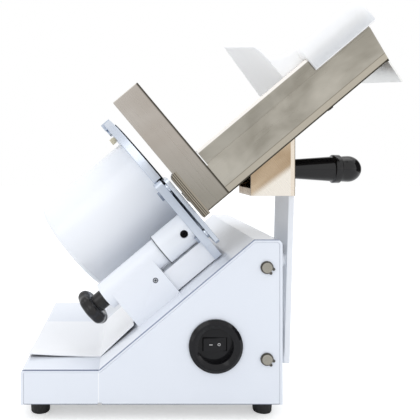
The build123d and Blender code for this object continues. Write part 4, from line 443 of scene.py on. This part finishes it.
# Bottom plate and slide rods: plain stainless sheet under the base; two ground and polished steel
# rods of 12 mm, held in the sides by open spring-steel retaining rings.
def ground_metal(name, colour, shade, roughness, grain, turn=0.0, cloud=71.4, low=None):
    """Bare metal, brushed, ground or blasted: fine lines along one way and broad soft clouds.

    The eye gets a sheen that is drawn out along the lines. grain is the size of a line in mm, one number
    or three, cloud is a cloud's, and low is the colour, the start and the end of a darker foot, painted as
    the reflection of darker things below.
    """
    made, tree, shader = new_material(name, Metallic=1.0)
    drift = object_place(tree, (cloud / 0.6, cloud, cloud), turn)
    clouds = node(tree, "ShaderNodeTexNoise", {"Vector": drift, "Scale": 1.0, "Detail": 3.0,
                                               "Distortion": 0.4})
    spread = node(tree, "ShaderNodeMapRange", {"Value": clouds.outputs[0], "From Min": 0.36,
                                               "From Max": 0.64})
    tone = node(tree, "ShaderNodeMix", {"Factor": spread.outputs[0], 6: paint(colour), 7: paint(shade)},
                data_type="RGBA")
    if low:
        place = node(tree, "ShaderNodeTexCoord")
        height = node(tree, "ShaderNodeSeparateXYZ", {0: place.outputs["Object"]})
        fall = node(tree, "ShaderNodeMapRange", {"Value": height.outputs["Z"], "From Min": low[1],
                                                 "From Max": low[2]})
        tone = node(tree, "ShaderNodeMix", {"Factor": fall.outputs[0], 6: tone.outputs[2], 7: paint(low[0])},
                    data_type="RGBA")
    lines = node(tree, "ShaderNodeTexNoise", {"Vector": object_place(tree, grain, turn), "Scale": 1.0,
                                              "Detail": 3.0, "Roughness": 0.6})
    drawn = node(tree, "ShaderNodeMapRange", {"Value": lines.outputs[0], "To Min": 0.93, "To Max": 1.05})
    lined = node(tree, "ShaderNodeVectorMath", {0: tone.outputs[2], "Scale": drawn.outputs[0]},
                 operation="SCALE")
    tree.links.new(lined.outputs[0], shader.inputs["Base Color"])
    rough = node(tree, "ShaderNodeMapRange", {"Value": lines.outputs[0], "From Min": 0.3, "From Max": 0.7,
                                              "To Min": roughness - 0.07, "To Max": roughness + 0.07})
    tree.links.new(rough.outputs[0], shader.inputs["Roughness"])
    bump = node(tree, "ShaderNodeBump", {"Height": lines.outputs[0], "Strength": 0.015, "Distance": 0.0002})
    tree.links.new(bump.outputs[0], shader.inputs["Normal"])
    return made


# Brushed lines 0.56 mm wide and 56 mm long, coarser than the real ones so that they show; rings from
# grinding round the rods; phosphated spring steel, which is dark grey and dull, with 1.1 mm grain.
brushed_along_x = (55.6, 0.556, 0.556)
ground_round_y = (0.455, 16.7, 0.455)
flat_steel = ground_metal("brushed_stainless_flat", "#D6D8DA", "#C6C9CC", 0.3, brushed_along_x)
rod_steel = ground_metal("ground_and_polished_steel", "#B0ACA2", "#98948A", 0.24, ground_round_y)
spring_steel = ground_metal("phosphated_spring_steel", "#6B6965", "#55534F", 0.42, 1.11)
dressed("bottom_sheet", "bottom_plate", flat_steel, "base", edge=0.0003)
dressed("slide_rod_pair", "slide_rods", rod_steel, "base", edge=0.0006)
dressed("retaining_rings", "rod_clips", spring_steel, "base", edge=0.0002)


# Switch: a rocker in a round housing, both moulded in black ABS and snapped into the near side. The
# rocker has the two usual marks, a dash and a ring, printed in white.
def moulded(name, colour, shade, roughness, **sockets):
    """Moulded plastic, hard off a polished mould: the eye gets a slightly uneven sheen.

    The clouds are 17 mm wide, and the grain of 0.7 mm is coarser than the real one so that it shows.
    """
    made, tree, shader = new_material(name, IOR=1.5, Coat_Roughness=0.1, **sockets)
    hue = object_place(tree, 16.7)
    cloud = node(tree, "ShaderNodeTexNoise", {"Vector": hue, "Scale": 1.0, "Detail": 3.0})
    tone = node(tree, "ShaderNodeMix", {"Factor": cloud.outputs[0], 6: paint(colour), 7: paint(shade)},
                data_type="RGBA")
    tree.links.new(tone.outputs[2], shader.inputs["Base Color"])
    rough = node(tree, "ShaderNodeMapRange", {"Value": cloud.outputs[0], "To Min": roughness - 0.05,
                                              "To Max": roughness + 0.05})
    tree.links.new(rough.outputs[0], shader.inputs["Roughness"])
    skin = object_place(tree, 0.714)
    grain = node(tree, "ShaderNodeTexNoise", {"Vector": skin, "Scale": 1.0, "Detail": 1.0})
    bump = node(tree, "ShaderNodeBump", {"Height": grain.outputs[0], "Strength": 0.04, "Distance": 0.0002})
    tree.links.new(bump.outputs[0], shader.inputs["Normal"])
    return made


# Black ABS is deep black with a weak sheen; the ink is flat and white.
black_abs = moulded("moulded_black_abs", "#141417", "#0F0F12", 0.14, Specular_IOR_Level=0.28)
dressed("switch_housing", "switch_bezel", black_abs, "base", edge=0.0015, steps=4)
rocker = dressed("rocker", "rocker_switch", black_abs, "rocker", edge=0.0006, steps=3)
white_ink = moulded("printed_white_ink", "#D8D8D6", "#CECECC", 0.5)
rocker_low, rocker_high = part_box("rocker_switch")
rocker_middle = (rocker_low + rocker_high) / 2
ink, mark_side, dash_x, dash_z = 0.00006, 0.0048, 0.0019, 0.0004
ring_out, ring_in, ring_steps = 0.0017, 0.0011, 28


def printed(name, outline, hole, side):
    """A mark printed on the rocker's face, to one side of its middle."""
    form = bmesh.new()
    start = Vector((rocker_middle.x + side, -1, rocker_middle.z))
    meet = [rocker.ray_cast(start + Vector((x, 0, z)), (0, 1, 0)) for x, z in outline + hole]
    skin = [form.verts.new(hit[1] - Vector((0, ink, 0))) for hit in meet]
    count = len(outline)
    if hole:
        for k in range(count):
            j = (k + 1) % count
            form.faces.new([skin[k], skin[j], skin[count + j], skin[count + k]])
    else:
        form.faces.new(skin)
    drawn_out = bmesh.ops.extrude_face_region(form, geom=form.faces[:])["geom"]
    backs = [v for v in drawn_out if isinstance(v, bmesh.types.BMVert)]
    bmesh.ops.translate(form, vec=(0, 2 * ink, 0), verts=backs)
    bmesh.ops.recalc_face_normals(form, faces=form.faces)
    made = put(name, mesh_of(form, name), white_ink)
    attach(made, "rocker")


circle = [(cos(2 * pi * k / ring_steps), sin(2 * pi * k / ring_steps)) for k in range(ring_steps)]
printed("printed_dash", [(-dash_x, -dash_z), (dash_x, -dash_z), (dash_x, dash_z), (-dash_x, dash_z)], [],
        -mark_side)
printed("printed_ring", [(ring_out * x, ring_out * z) for x, z in circle],
        [(ring_in * x, ring_in * z) for x, z in circle], mark_side)

# Receiving sheet: thin folded sheet laid loose on the platform, enamelled white like the base on top
# and painted dark underneath as shade. It lies sprung, with a corner and its flap a little off the base.
catcher_enamel = enamelled("baked_enamel_on_loose_sheet", "#FCFDFE", "#F6F8FB", sheet_peel)
tree = catcher_enamel.node_tree
# Painted shade: faces that look down are tinted dark, so the gaps under the lifted corner and flap read dark.
facing = node(tree, "ShaderNodeSeparateXYZ", {0: node(tree, "ShaderNodeNewGeometry").outputs["True Normal"]})
under = node(tree, "ShaderNodeMapRange", {"Value": facing.outputs["Z"], "From Min": -0.3, "From Max": -0.5})
tinted(catcher_enamel, under.outputs[0], "#1E2126")
catcher_low, catcher_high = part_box("receiving_sheet")
catcher_flat, corner_lift, flap_lift, bend_slices = 0.088, 0.0036, 0.0046, 16
corner_curl, corner_fade, flap_curl, flap_fade = 1.5, 1.6, 0.8, 0.6
catcher_fold = catcher_low.x + catcher_flat


def cut_through(form, place, way):
    """Cuts a form's faces along a plane, and keeps all of it."""
    bmesh.ops.bisect_plane(form, geom=form.verts[:] + form.edges[:] + form.faces[:], dist=0.000005,
                           plane_co=place, plane_no=way)


def sprung_sheet():
    """The loose sheet as it really lies: near corner up at the low end, flap a little off the slope."""
    form = bmesh.new()
    form.from_mesh(solid("receiving_sheet"))
    size = catcher_high - catcher_low
    for axis, length in (((1, 0, 0), size.x), ((0, 1, 0), size.y)):
        for k in range(1, bend_slices):
            cut_through(form, catcher_low + Vector(axis) * (length * k / bend_slices), axis)
    # Each lift grows from the fold towards its end of the sheet, and fades towards the far side.
    for v in form.verts:
        deep = (v.co.y - catcher_low.y) / size.y
        if v.co.x < catcher_fold:
            low_end = (catcher_fold - v.co.x) / (catcher_fold - catcher_low.x)
            v.co.z += corner_lift * low_end ** corner_curl * max(0.0, 1 - corner_fade * deep) ** 2
        else:
            high_end = (v.co.x - catcher_fold) / (catcher_high.x - catcher_fold)
            v.co.z += flap_lift * high_end ** flap_curl * (1 - flap_fade * deep)
    return mesh_of(form, "receiving_sheet")


fitted(put("receiving_tray", sprung_sheet(), catcher_enamel), "receiver", "receiving_sheet")

# Motor drum with its pedestal: an aluminium casting, turned outside and enamelled like the base, with
# a pressed end cap held by four long bolts. The casting's peel is coarser, with waves of 3.8 mm.
cast_peel = 3.85
cast_enamel = enamelled("baked_enamel_on_casting", "#F6F8FB", "#F0F3F8", cast_peel)
# Zinc plating, passivated: a bright, slightly blue grey that is a little cloudy, with 1.4 mm grain.
zinc = ground_metal("zinc_plated_steel", "#C6CBD3", "#B0B6C0", 0.33, 1.43)
dressed("motor_drum", "motor_housing", cast_enamel, "base", edge=0.0012, steps=3)
dressed("drum_end_cap", "motor_end_cap", cast_enamel, "base", edge=0.0008, steps=3)
dressed("long_bolts", "motor_bolts", zinc, "base", edge=0.0002)

# Ring guard and knife: a cast aluminium ring round a ground and polished steel knife, which has a
# stainless cover over its hub. Each of them is screwed on, the ring into the gearbox plate.
joints = {joint["name"]: joint for joint in frame["joints"]}
centre, axle = Vector(joints["blade_spin"]["pos_m"]), Vector(joints["blade_spin"]["axis"])


def wheel_ground(name, colour, shade, roughness):
    """Metal turned or ground about the blade's axis: the eye gets fine rings that light up in a fan.

    The rings are drawn 0.6 mm apart, coarser than the real ones so that they show.
    """
    ring_gap = 0.625
    made, tree, shader = new_material(name, Metallic=1.0, Roughness=roughness)
    where = node(tree, "ShaderNodeTexCoord")
    away = node(tree, "ShaderNodeVectorMath", {0: where.outputs["Object"], 1: centre}, operation="SUBTRACT")
    along = node(tree, "ShaderNodeVectorMath", {0: away.outputs[0], 1: axle}, operation="DOT_PRODUCT")
    part = node(tree, "ShaderNodeVectorMath", {0: axle, "Scale": along.outputs["Value"]}, operation="SCALE")
    flat = node(tree, "ShaderNodeVectorMath", {0: away.outputs[0], 1: part.outputs[0]}, operation="SUBTRACT")
    radius = node(tree, "ShaderNodeVectorMath", {0: flat.outputs[0]}, operation="LENGTH")
    rings = node(tree, "ShaderNodeTexNoise", {"W": radius.outputs["Value"], "Scale": 1000 / ring_gap,
                                              "Detail": 2.0}, noise_dimensions="1D")
    tone = node(tree, "ShaderNodeMix", {"Factor": rings.outputs[0], 6: paint(colour), 7: paint(shade)},
                data_type="RGBA")
    tree.links.new(tone.outputs[2], shader.inputs["Base Color"])
    bump = node(tree, "ShaderNodeBump", {"Height": rings.outputs[0], "Strength": 0.06, "Distance": 0.0002})
    tree.links.new(bump.outputs[0], shader.inputs["Normal"])
    return made


# Cast aluminium has a soft 2 mm grain: polished it mirrors, and tumbled it only shimmers.
polished_cast = ground_metal("polished_cast_aluminium", "#D3DAE4", "#C4CCD8", 0.22, 2.0)
ring_cast = ground_metal("tumbled_cast_aluminium", "#D3DAE5", "#C6CFDD", 0.36, 2.0)
knife_steel = wheel_ground("ground_knife_steel", "#D4D6D8", "#BFC2C5", 0.16)
turned_steel = wheel_ground("turned_stainless", "#CFCFCD", "#BDBDBA", 0.26)
dressed("ring_round_blade", "ring_guard", ring_cast, "base", edge=0.0006, steps=3)
dressed("round_knife", "blade", knife_steel, "blade", edge=0.0001)
dressed("hub_disc", "hub_cover", turned_steel, "blade", edge=0.0003)
dressed("hub_screws", "blade_screws", zinc, "blade", edge=0.0001)

# Thumb screw: ivory nylon, moulded with a fluted rim on a plain collar and shank, and screwed into the
# back of the ring. Nylon is a little waxy, so its sheen is broad and weak.
ivory = moulded("moulded_ivory_nylon", "#E3DABF", "#D8CEB2", 0.42)


def lobed_rim(name):
    """A tree that draws a turned piece's outer skin in between evenly spaced lobes about x."""
    tree, given = pattern_tree(name, Lobes=8.0, Depth=0.002, Core=0.01, Rim=0.02, Last=0.01)
    pattern = node(tree, "GeometryNodeObjectInfo", {"Object": given.outputs["Pattern"]})
    point = node(tree, "ShaderNodeSeparateXYZ", {0: node(tree, "GeometryNodeInputPosition").outputs[0]})
    flat = node(tree, "ShaderNodeCombineXYZ", {"Y": point.outputs["Y"], "Z": point.outputs["Z"]})
    angle = node(tree, "ShaderNodeMath", {0: point.outputs["Z"], 1: point.outputs["Y"]}, operation="ARCTAN2")
    turns = node(tree, "ShaderNodeMath", {0: angle.outputs[0], 1: given.outputs["Lobes"]},
                 operation="MULTIPLY")
    wave = node(tree, "ShaderNodeMath", {0: turns.outputs[0]}, operation="COSINE")
    hollow = node(tree, "ShaderNodeMapRange", {"Value": wave.outputs[0], "From Min": 1.0, "From Max": -1.0})
    radius = node(tree, "ShaderNodeVectorMath", {0: flat.outputs[0]}, operation="LENGTH")
    outer = node(tree, "ShaderNodeMapRange", {"Value": radius.outputs["Value"],
                                              "From Min": given.outputs["Core"],
                                              "From Max": given.outputs["Rim"]},
                 interpolation_type="SMOOTHSTEP")
    before = node(tree, "ShaderNodeMath", {0: point.outputs["X"], 1: given.outputs["Last"]},
                  operation="LESS_THAN")
    inward = node(tree, "ShaderNodeMath", {0: given.outputs["Depth"], 1: -1.0}, operation="MULTIPLY")
    for share in (hollow, outer, before):
        inward = node(tree, "ShaderNodeMath", {0: inward.outputs[0], 1: share.outputs[0]},
                      operation="MULTIPLY")
    outward = node(tree, "ShaderNodeVectorMath", {0: flat.outputs[0]}, operation="NORMALIZE")
    shift = node(tree, "ShaderNodeVectorMath", {0: outward.outputs[0], "Scale": inward.outputs[0]},
                 operation="SCALE")
    drawn = node(tree, "GeometryNodeSetPosition", {"Geometry": pattern.outputs["Geometry"],
                                                   "Offset": shift.outputs[0]})
    end_tree(tree, given, drawn.outputs[0])
    return tree


def on_head(joint):
    """The place of a turned piece of the tilted head, at its joint and with its axis across the slope."""
    return Matrix.Translation(Vector(joints[joint]["pos_m"])) @ Matrix.Rotation(-tilt, 4, "Y")


def reach_along(source, place):
    """How far a solid reaches along the x axis of a place, at both ends."""
    back = place.inverted()
    along = [(back @ v.co).x for v in frame["nodes"][source].data.vertices]
    return min(along), max(along)


def lobed(name, profile, place, material, sizes):
    """A turned piece drawn in between lobes, at its place."""
    plain = put(name + "_pattern", turned(profile, Matrix.Identity(4), 192), material)
    made = grown(name, lobed_rim(name + "_rule"), plain, material, sizes)
    made.data.transform(place)
    return made


thumb_place = on_head("thumb_turn")
thumb_left, thumb_right = reach_along("thumb_screw", thumb_place)
thumb_r, thumb_shank_r, flute, flutes, thumb_soft = 0.0046, 0.0024, 0.0006, 12.0, 0.0004
thumb_head_length, thumb_collar_length = 0.0065, 0.008
thumb_rim, thumb_collar = thumb_left + thumb_head_length, thumb_left + thumb_collar_length
thumb_profile = softened([(thumb_left, 0), (thumb_left, thumb_r), (thumb_rim, thumb_r),
                          (thumb_rim, thumb_r - flute), (thumb_collar, thumb_r - flute),
                          (thumb_collar, thumb_shank_r), (thumb_right, thumb_shank_r), (thumb_right, 0)],
                         thumb_soft)
thumb = lobed("fluted_thumb_screw", thumb_profile, thumb_place, ivory, {
    "Lobes": flutes, "Depth": flute, "Core": thumb_r - 2 * flute, "Rim": thumb_r - flute,
    "Last": thumb_rim - thumb_soft / 4})
fitted(thumb, "thumb", "thumb_screw")

# Thickness adjuster: an enamelled casting bolted to the slope, with the spindle's round sleeve and a
# slotted pin driven into its side. A lobed knob, moulded in black phenolic, is screwed to the spindle.
pin_low, pin_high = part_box("roll_pin")
pin_centre, pin_r = (pin_low + pin_high) / 2, (pin_high.x - pin_low.x) / 2


def ringed(material, inner, outer, colour):
    """Paints shade into a material between two radii about the pin, where its hole darkens at the rim."""
    tree = material.node_tree
    where = node(tree, "ShaderNodeTexCoord")
    away = node(tree, "ShaderNodeVectorMath", {0: where.outputs["Object"], 1: pin_centre},
                operation="SUBTRACT")
    flat = node(tree, "ShaderNodeVectorMath", {0: away.outputs[0], 1: (1, 0, 1)}, operation="MULTIPLY")
    radius = node(tree, "ShaderNodeVectorMath", {0: flat.outputs[0]}, operation="LENGTH")
    band = node(tree, "ShaderNodeMath", {0: radius.outputs["Value"], 1: (inner + outer) / 2,
                                         2: (outer - inner) / 2}, operation="COMPARE")
    tinted(material, band.outputs[0], colour)


# Painted shade: the block's enamel is dark in the pin's hole. The pin is bright, as rolled, painted near
# white for its reflection, and painted dark towards its rim.
# Phenolic, polished, is near black with sharp highlights.
hole_shade, pin_dark_share, pin_rim_share = 0.0008, 0.78, 1.1
block_enamel = enamelled("baked_enamel_on_adjuster_casting", "#F0F3F8", "#EAEEF5", cast_peel)
ringed(block_enamel, 0, pin_r + hole_shade, "#5A5F68")
pin_steel = ground_metal("bright_spring_steel", "#F0F1F3", "#E2E4E7", 0.4, 1.43)
ringed(pin_steel, pin_r * pin_dark_share, pin_r * pin_rim_share, "#6F747C")
black_phenolic = moulded("moulded_black_phenolic", "#161415", "#100F10", 0.12, Coat_Weight=0.1,
                         Specular_IOR_Level=0.4)
dressed("adjuster_casting", "adjuster_block", block_enamel, "base", edge=0.0009, steps=3)
dressed("slotted_pin", "roll_pin", pin_steel, "base", edge=0.0003)

knob_place = on_head("knob_turn")
knob_left, knob_right = reach_along("thickness_knob", knob_place)
knob_r, rim_core, rim_half, rim_steps, rim_fullness = 0.024, 0.0150, 0.008, 24, 0.8
hub_r, hub_step, recess_r, recess_depth = 0.0113, 0.001, 0.007, 0.003
recess_lip, recess_bevel, face_soft, hub_soft = 0.0004, 0.0006, 0.001, 0.0008
lobes, lobe_depth = 8.0, 0.0016
rim_right = knob_left + 2 * rim_half
knob_profile = softened([(knob_left + recess_depth, 0), (knob_left + recess_depth, recess_r),
                         (knob_left + recess_lip, recess_r + recess_bevel), (knob_left, rim_core)],
                        face_soft)
for k in range(1, rim_steps):
    a = pi * k / rim_steps
    knob_profile.append((knob_left + rim_half - rim_half * cos(a),
                         rim_core + (knob_r - rim_core) * sin(a) ** rim_fullness))
knob_profile += softened([(rim_right, rim_core), (rim_right - hub_step, hub_r), (knob_right, hub_r),
                          (knob_right, 0)], hub_soft)
knob = lobed("lobed_knob", knob_profile, knob_place, black_phenolic, {
    "Lobes": lobes, "Depth": lobe_depth, "Core": rim_core, "Rim": knob_r - hub_step, "Last": knob_right})
fitted(knob, "knob", "thickness_knob")

# Gauge: an enamelled cast cup with the spindle's nut slides over the sleeve's end, and a square bar
# guides it. An aluminium back plate joins both to the polished plate that the food slides along.
# The cup's rim is dark in its own shade, which shows where it meets the sleeve.
cup_enamel = enamelled("baked_enamel_on_gauge_casting", "#F2F5F9", "#ECF0F6", cast_peel)
cup_rim = reach("gauge_boss", across)[0]
rim_band, rim_fade = 0.0016, 0.0008
shaded(cup_enamel, (-across, -(cup_rim + rim_band), rim_fade), colour="#3B404A")
# Black oxide on steel: near black and quite dull, with 1.1 mm grain.
black_oxide = ground_metal("black_oxide_steel", "#1C1C1D", "#141415", 0.5, 1.11)
dressed("gauge_cup", "gauge_boss", cup_enamel, "gauge", edge=0.0004)
dressed("cup_set_screw", "grub_screw", black_oxide, "gauge", edge=0.0002)
dressed("square_slide_bar", "slide_bar", cast_enamel, "gauge", edge=0.0012, steps=3)
dressed("gauge_back_plate", "gauge_carrier", ring_cast, "gauge", edge=0.0008)
dressed("gauge_front_plate", "gauge_plate", polished_cast, "gauge", edge=0.0005)

# Carriage: an enamelled cast arm outside the base, which runs on the rods through two slots, and a
# folded stainless bracket that is bolted to the arm's head and carries the tray.
dressed("cast_arm", "carriage_arm", cast_enamel, "carriage", edge=0.001, steps=3)
dressed("arm_cap_screws", "arm_screws", zinc, "carriage", edge=0.0003)

# The bracket is brushed steel with painted reflection: brown for the warm surroundings it mirrors, with a
# pale reflection past a slanting line, a painted highlight on the bend beside its right end and a dark end
# edge in painted shade. Its lines are 71 mm long.
brushed_up = (1.11, 1.11, 71.4)
bracket_steel = ground_metal("brushed_stainless_bracket", "#CDB89D", "#A68C6E", 0.3, brushed_up, 0.7, 45.5)
bracket_low, bracket_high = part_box("tray_bracket")
bracket_edge = bracket_high.x
lit_angle, lit_from_edge, lit_above_foot, lit_blend = radians(36), 0.047, 0.0044, 0.009
lit_way = Vector((sin(lit_angle), 0, -cos(lit_angle)))
lit_line = lit_way.dot((bracket_edge - lit_from_edge, 0, bracket_low.z + lit_above_foot))
bend_band, bend_fade, end_band, end_fade = 0.0060, 0.0010, 0.0012, 0.0007
shaded(bracket_steel, (lit_way, lit_line - lit_blend / 2, lit_blend), colour="#F4EDE2")
shaded(bracket_steel, ((1, 0, 0), bracket_edge - bend_band, bend_fade), colour="#F0E4D4")
shaded(bracket_steel, ((1, 0, 0), bracket_edge - end_band, end_fade), colour="#7D7263")
dressed("folded_bracket", "tray_bracket", bracket_steel, "carriage", edge=0.0008, steps=3)

# Handle: a grip turned from black phenolic, with a raised collar and a round end, and polished. A
# stud through the arm and the bracket's end wall holds it.
grip_low, grip_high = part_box("carriage_handle")
grip_place = Matrix.Translation((grip_low.x, (grip_low.y + grip_high.y) / 2, (grip_low.z + grip_high.z) / 2))
grip_length = grip_high.x - grip_low.x
neck_r, grip_r, collar_r, bulb_r, bulb_steps = 0.0117, 0.0157, 0.0179, 0.0164, 12
collar_left, collar_right, collar_step, grip_soft = 0.0565, 0.0647, 0.0007, 0.0007
waist, waist_r = 0.0070, 0.0162
grip_profile = [(0, 0), (0, neck_r), (collar_left - collar_step, grip_r), (collar_left, collar_r),
                (collar_right, collar_r), (collar_right + collar_step, grip_r),
                (collar_right + waist, waist_r)]
for k in range(bulb_steps + 1):
    a = pi / 2 * k / bulb_steps
    grip_profile.append((grip_length - bulb_r + bulb_r * sin(a), bulb_r * cos(a)))
grip = put("turned_grip", turned(softened(grip_profile, grip_soft), grip_place), black_phenolic)
fitted(grip, "carriage", "carriage_handle")

# Food tray: stainless sheet folded into a wall with a top flange, a floor, a lip and a three-cornered
# apron, and brushed along the wall to a satin sheen. The bracket carries it.
tray_steel = ground_metal("brushed_stainless_tray", "#BCB7AC", "#9A958A", 0.34, brushed_along_x, tilt, 38.5)
wall_foot = reach("fence_plate", up_slope)[0]
wall_depth = 0.003
wall_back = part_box("food_tray")[0].y + wall_depth
wall_top = max(up_slope.dot(v.co) for v in frame["nodes"]["food_tray"].data.vertices if v.co.y < wall_back)
# Painted shade and light down the wall: a darker line at the bend, the wall's own tone again, a dark foot and
# a pale lip.
bend_top, bend_foot, foot_shade, lip_top, line_fade = 0.0090, 0.0082, 0.0016, -0.0010, 0.0004
for height, colour in ((bend_top, "#8C867A"), (bend_foot, "#B8B1A3"), (foot_shade, "#4A463E"),
                       (lip_top, "#F4F4F2")):
    shaded(tray_steel, (-up_slope, -(wall_foot + height), line_fade), colour=colour)
# The bend under the flange catches the light.
top_band, top_fade = 0.0036, 0.0010
shaded(tray_steel, (up_slope, wall_top - top_band, top_fade), colour="#FFFBF6")
dressed("folded_tray", "food_tray", tray_steel, "carriage", edge=0.0007)

# Side plate and strip: a tall folded stainless plate on the tray's near wall, brushed upright, and
# beside it the strip that takes the food past the knife. The strip is milled with three grooves, and
# its thin leaf laps over the plate's edge.
fence_low, fence_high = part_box("fence_plate")
brushed_upright = (0.909, 0.909, 71.4)
dark_below_top, dark_above_foot = 0.06, 0.02
# Painted reflection and shade: the plate darkens towards its foot, where it mirrors the base, and at its edge
# and foot line.
fence_steel = ground_metal("brushed_stainless_side_plate", "#C1BBB4", "#B3ABA2", 0.32, brushed_upright, tilt,
                           low=("#9C978D", fence_high.z - dark_below_top, fence_low.z + dark_above_foot))
fence_edge = reach("fence_plate", across)[1]
edge_band, edge_fade, plate_foot_band, plate_foot_fade = 0.0032, 0.0020, 0.0022, 0.0012
shaded(fence_steel, (across, fence_edge - edge_band, edge_fade), colour="#4E4A42")
shaded(fence_steel, (-up_slope, -(wall_foot + plate_foot_band), plate_foot_fade), colour="#6A655B")
dressed("tall_side_plate", "fence_plate", fence_steel, "carriage", edge=0.0009, steps=3)

# Milled aluminium, worn dull and brownish: each groove shows a dark side of painted shade and a pale side of
# painted highlight.
strip_metal = ground_metal("milled_and_worn_aluminium", "#8C8578", "#767063", 0.36, brushed_upright, tilt)
strip_left = reach("fence_strip", across)[0]
strip_foot, strip_top = reach("fence_strip", up_slope)
leaf_width, leaf_thick, leaf_gap, leaf_corner, corner_steps = 0.0088, 0.0005, 0.0001, 0.006, 8
groove_pitch, groove_width, groove_depth, groove_line = 0.0021, 0.0009, 0.0008, 0.0002
groove_count, line_shift = 3, 0.0001
grooves = [strip_left + groove_pitch * (k + 1) for k in range(groove_count)]
for groove in grooves:
    left, right = groove - groove_width / 2 - line_shift, groove + groove_width / 2 - line_shift
    shaded(strip_metal, (across, left, groove_line), colour="#2E2B25")
    shaded(strip_metal, (across, right - groove_line, groove_line), colour="#A0988A")


def strip_mesh():
    """The strip's solid with its grooves, and the leaf that laps over the side plate's edge."""
    form = bmesh.new()
    form.from_mesh(solid("fence_strip"))
    near_skin = min(v.co.y for v in form.verts) + 0.00002
    for groove in grooves:
        for step in (-groove_width / 2, 0, groove_width / 2):
            cut_through(form, across * (groove + step), across)
    for v in form.verts:
        at = across.dot(v.co)
        if v.co.y < near_skin and any(abs(at - groove) < groove_width / 8 for groove in grooves):
            v.co.y += groove_depth
    corner = []
    for k in range(corner_steps + 1):
        a = pi / 2 * k / corner_steps
        corner.append((strip_left + leaf_corner * (1 - cos(a)), strip_top - leaf_corner * (1 - sin(a))))
    outline = [(strip_left, strip_foot)] + corner + [(strip_left + leaf_width, strip_top),
                                                     (strip_left + leaf_width, strip_foot)]
    face = Vector((0, fence_low.y - leaf_gap - leaf_thick, 0))
    front = [form.verts.new(across * n + up_slope * z + face) for n, z in outline]
    rear = [form.verts.new(v.co + Vector((0, leaf_thick, 0))) for v in front]
    form.faces.new(front)
    form.faces.new(rear)
    for k in range(len(front)):
        j = (k + 1) % len(front)
        form.faces.new([front[k], front[j], rear[j], rear[k]])
    bmesh.ops.recalc_face_normals(form, faces=form.faces)
    return mesh_of(form, "grooved_strip")


fitted(put("grooved_strip", strip_mesh(), strip_metal), "carriage", "fence_strip")

# Pusher: a plate across the tray, a web along the wall and a cap that rides on the top flange, moulded
# in one in white polyethylene. Light goes a few mm into it, so its shadows are soft and pale.
white_pe = moulded("moulded_white_polyethylene", "#FAFAF8", "#F6F6F4", 0.38, Subsurface_Weight=0.75,
                   Subsurface_Radius=(1.0, 1.0, 1.0), Subsurface_Scale=0.007)
# Painted shade darkens the cap towards its foot, and a painted highlight makes its lip there bright.
cap_length, cap_edge = 0.0870, 0.0002
cap_shade, cap_fade, lip_band, lip_fade = 0.0200, 0.0165, 0.0016, 0.0006
cap_left = reach("food_pusher", across)[1] - cap_length
cap_foot = min(up_slope.dot(v.co) for v in frame["nodes"]["food_pusher"].data.vertices
               if across.dot(v.co) > cap_left)
on_cap = (across, cap_left - cap_edge, cap_edge)
shaded(white_pe, (-up_slope, -(cap_foot + cap_shade), cap_fade), on_cap, colour="#DCDEE0")
shaded(white_pe, (-up_slope, -(cap_foot + lip_band), lip_fade), on_cap, colour="#FFFFFF")
dressed("moulded_pusher", "food_pusher", white_pe, "pusher", edge=0.0012, steps=3)

# Inner pieces keep their solids, each fitted into its housing: laminated core and copper windings,
# machined steel shafts and gears, cast plates, bronze bushes, screws and black moulded parts.
core_lines, wire_lines = (0.4, 25.0, 25.0), (0.625, 3.33, 3.33)
# The core is dark with its sheets' edges 0.4 mm apart, and the windings show their wire of 0.6 mm.
core_steel = ground_metal("laminated_core_steel", "#77777A", "#5E5E61", 0.45, core_lines, tilt)
copper = ground_metal("enamelled_copper_wire", "#C0744A", "#9C5530", 0.35, wire_lines, tilt)
# Machined steel is grey with marks of 0.8 mm, passivated steel pale and matt, sintered bronze brown.
machined = ground_metal("machined_gear_steel", "#9A9A9C", "#808083", 0.3, 0.833)
dull_steel = ground_metal("passivated_steel", "#A4ADBC", "#949DAC", 0.55, 1.43)
bronze = ground_metal("sintered_bronze", "#B98E52", "#A37A42", 0.4, 1.25)
for material, names in (
        (core_steel, ("motor_stator", "motor_rotor")),
        (copper, ("stator_windings",)),
        (machined, ("layshaft", "blade_gear")),
        (rod_steel, ("rotor_bearings", "blade_bearing", "blade_shaft", "adjuster_spindle")),
        (polished_cast, ("motor_plate", "gearbox_plate", "bearing_block", "run_capacitor")),
        (bronze, ("slide_bushes",)),
        (zinc, ("foot_screws", "slope_bolts", "knob_screw", "bracket_bolts", "handle_stud")),
        (dull_steel, ("ring_screws", "gauge_screws")),
        (black_abs, ("switch_body", "guide_fork", "tray_stop_bolt", "cable_gland", "gland_nut"))):
    for name in names:
        cover(frame["nodes"][name].data, material)
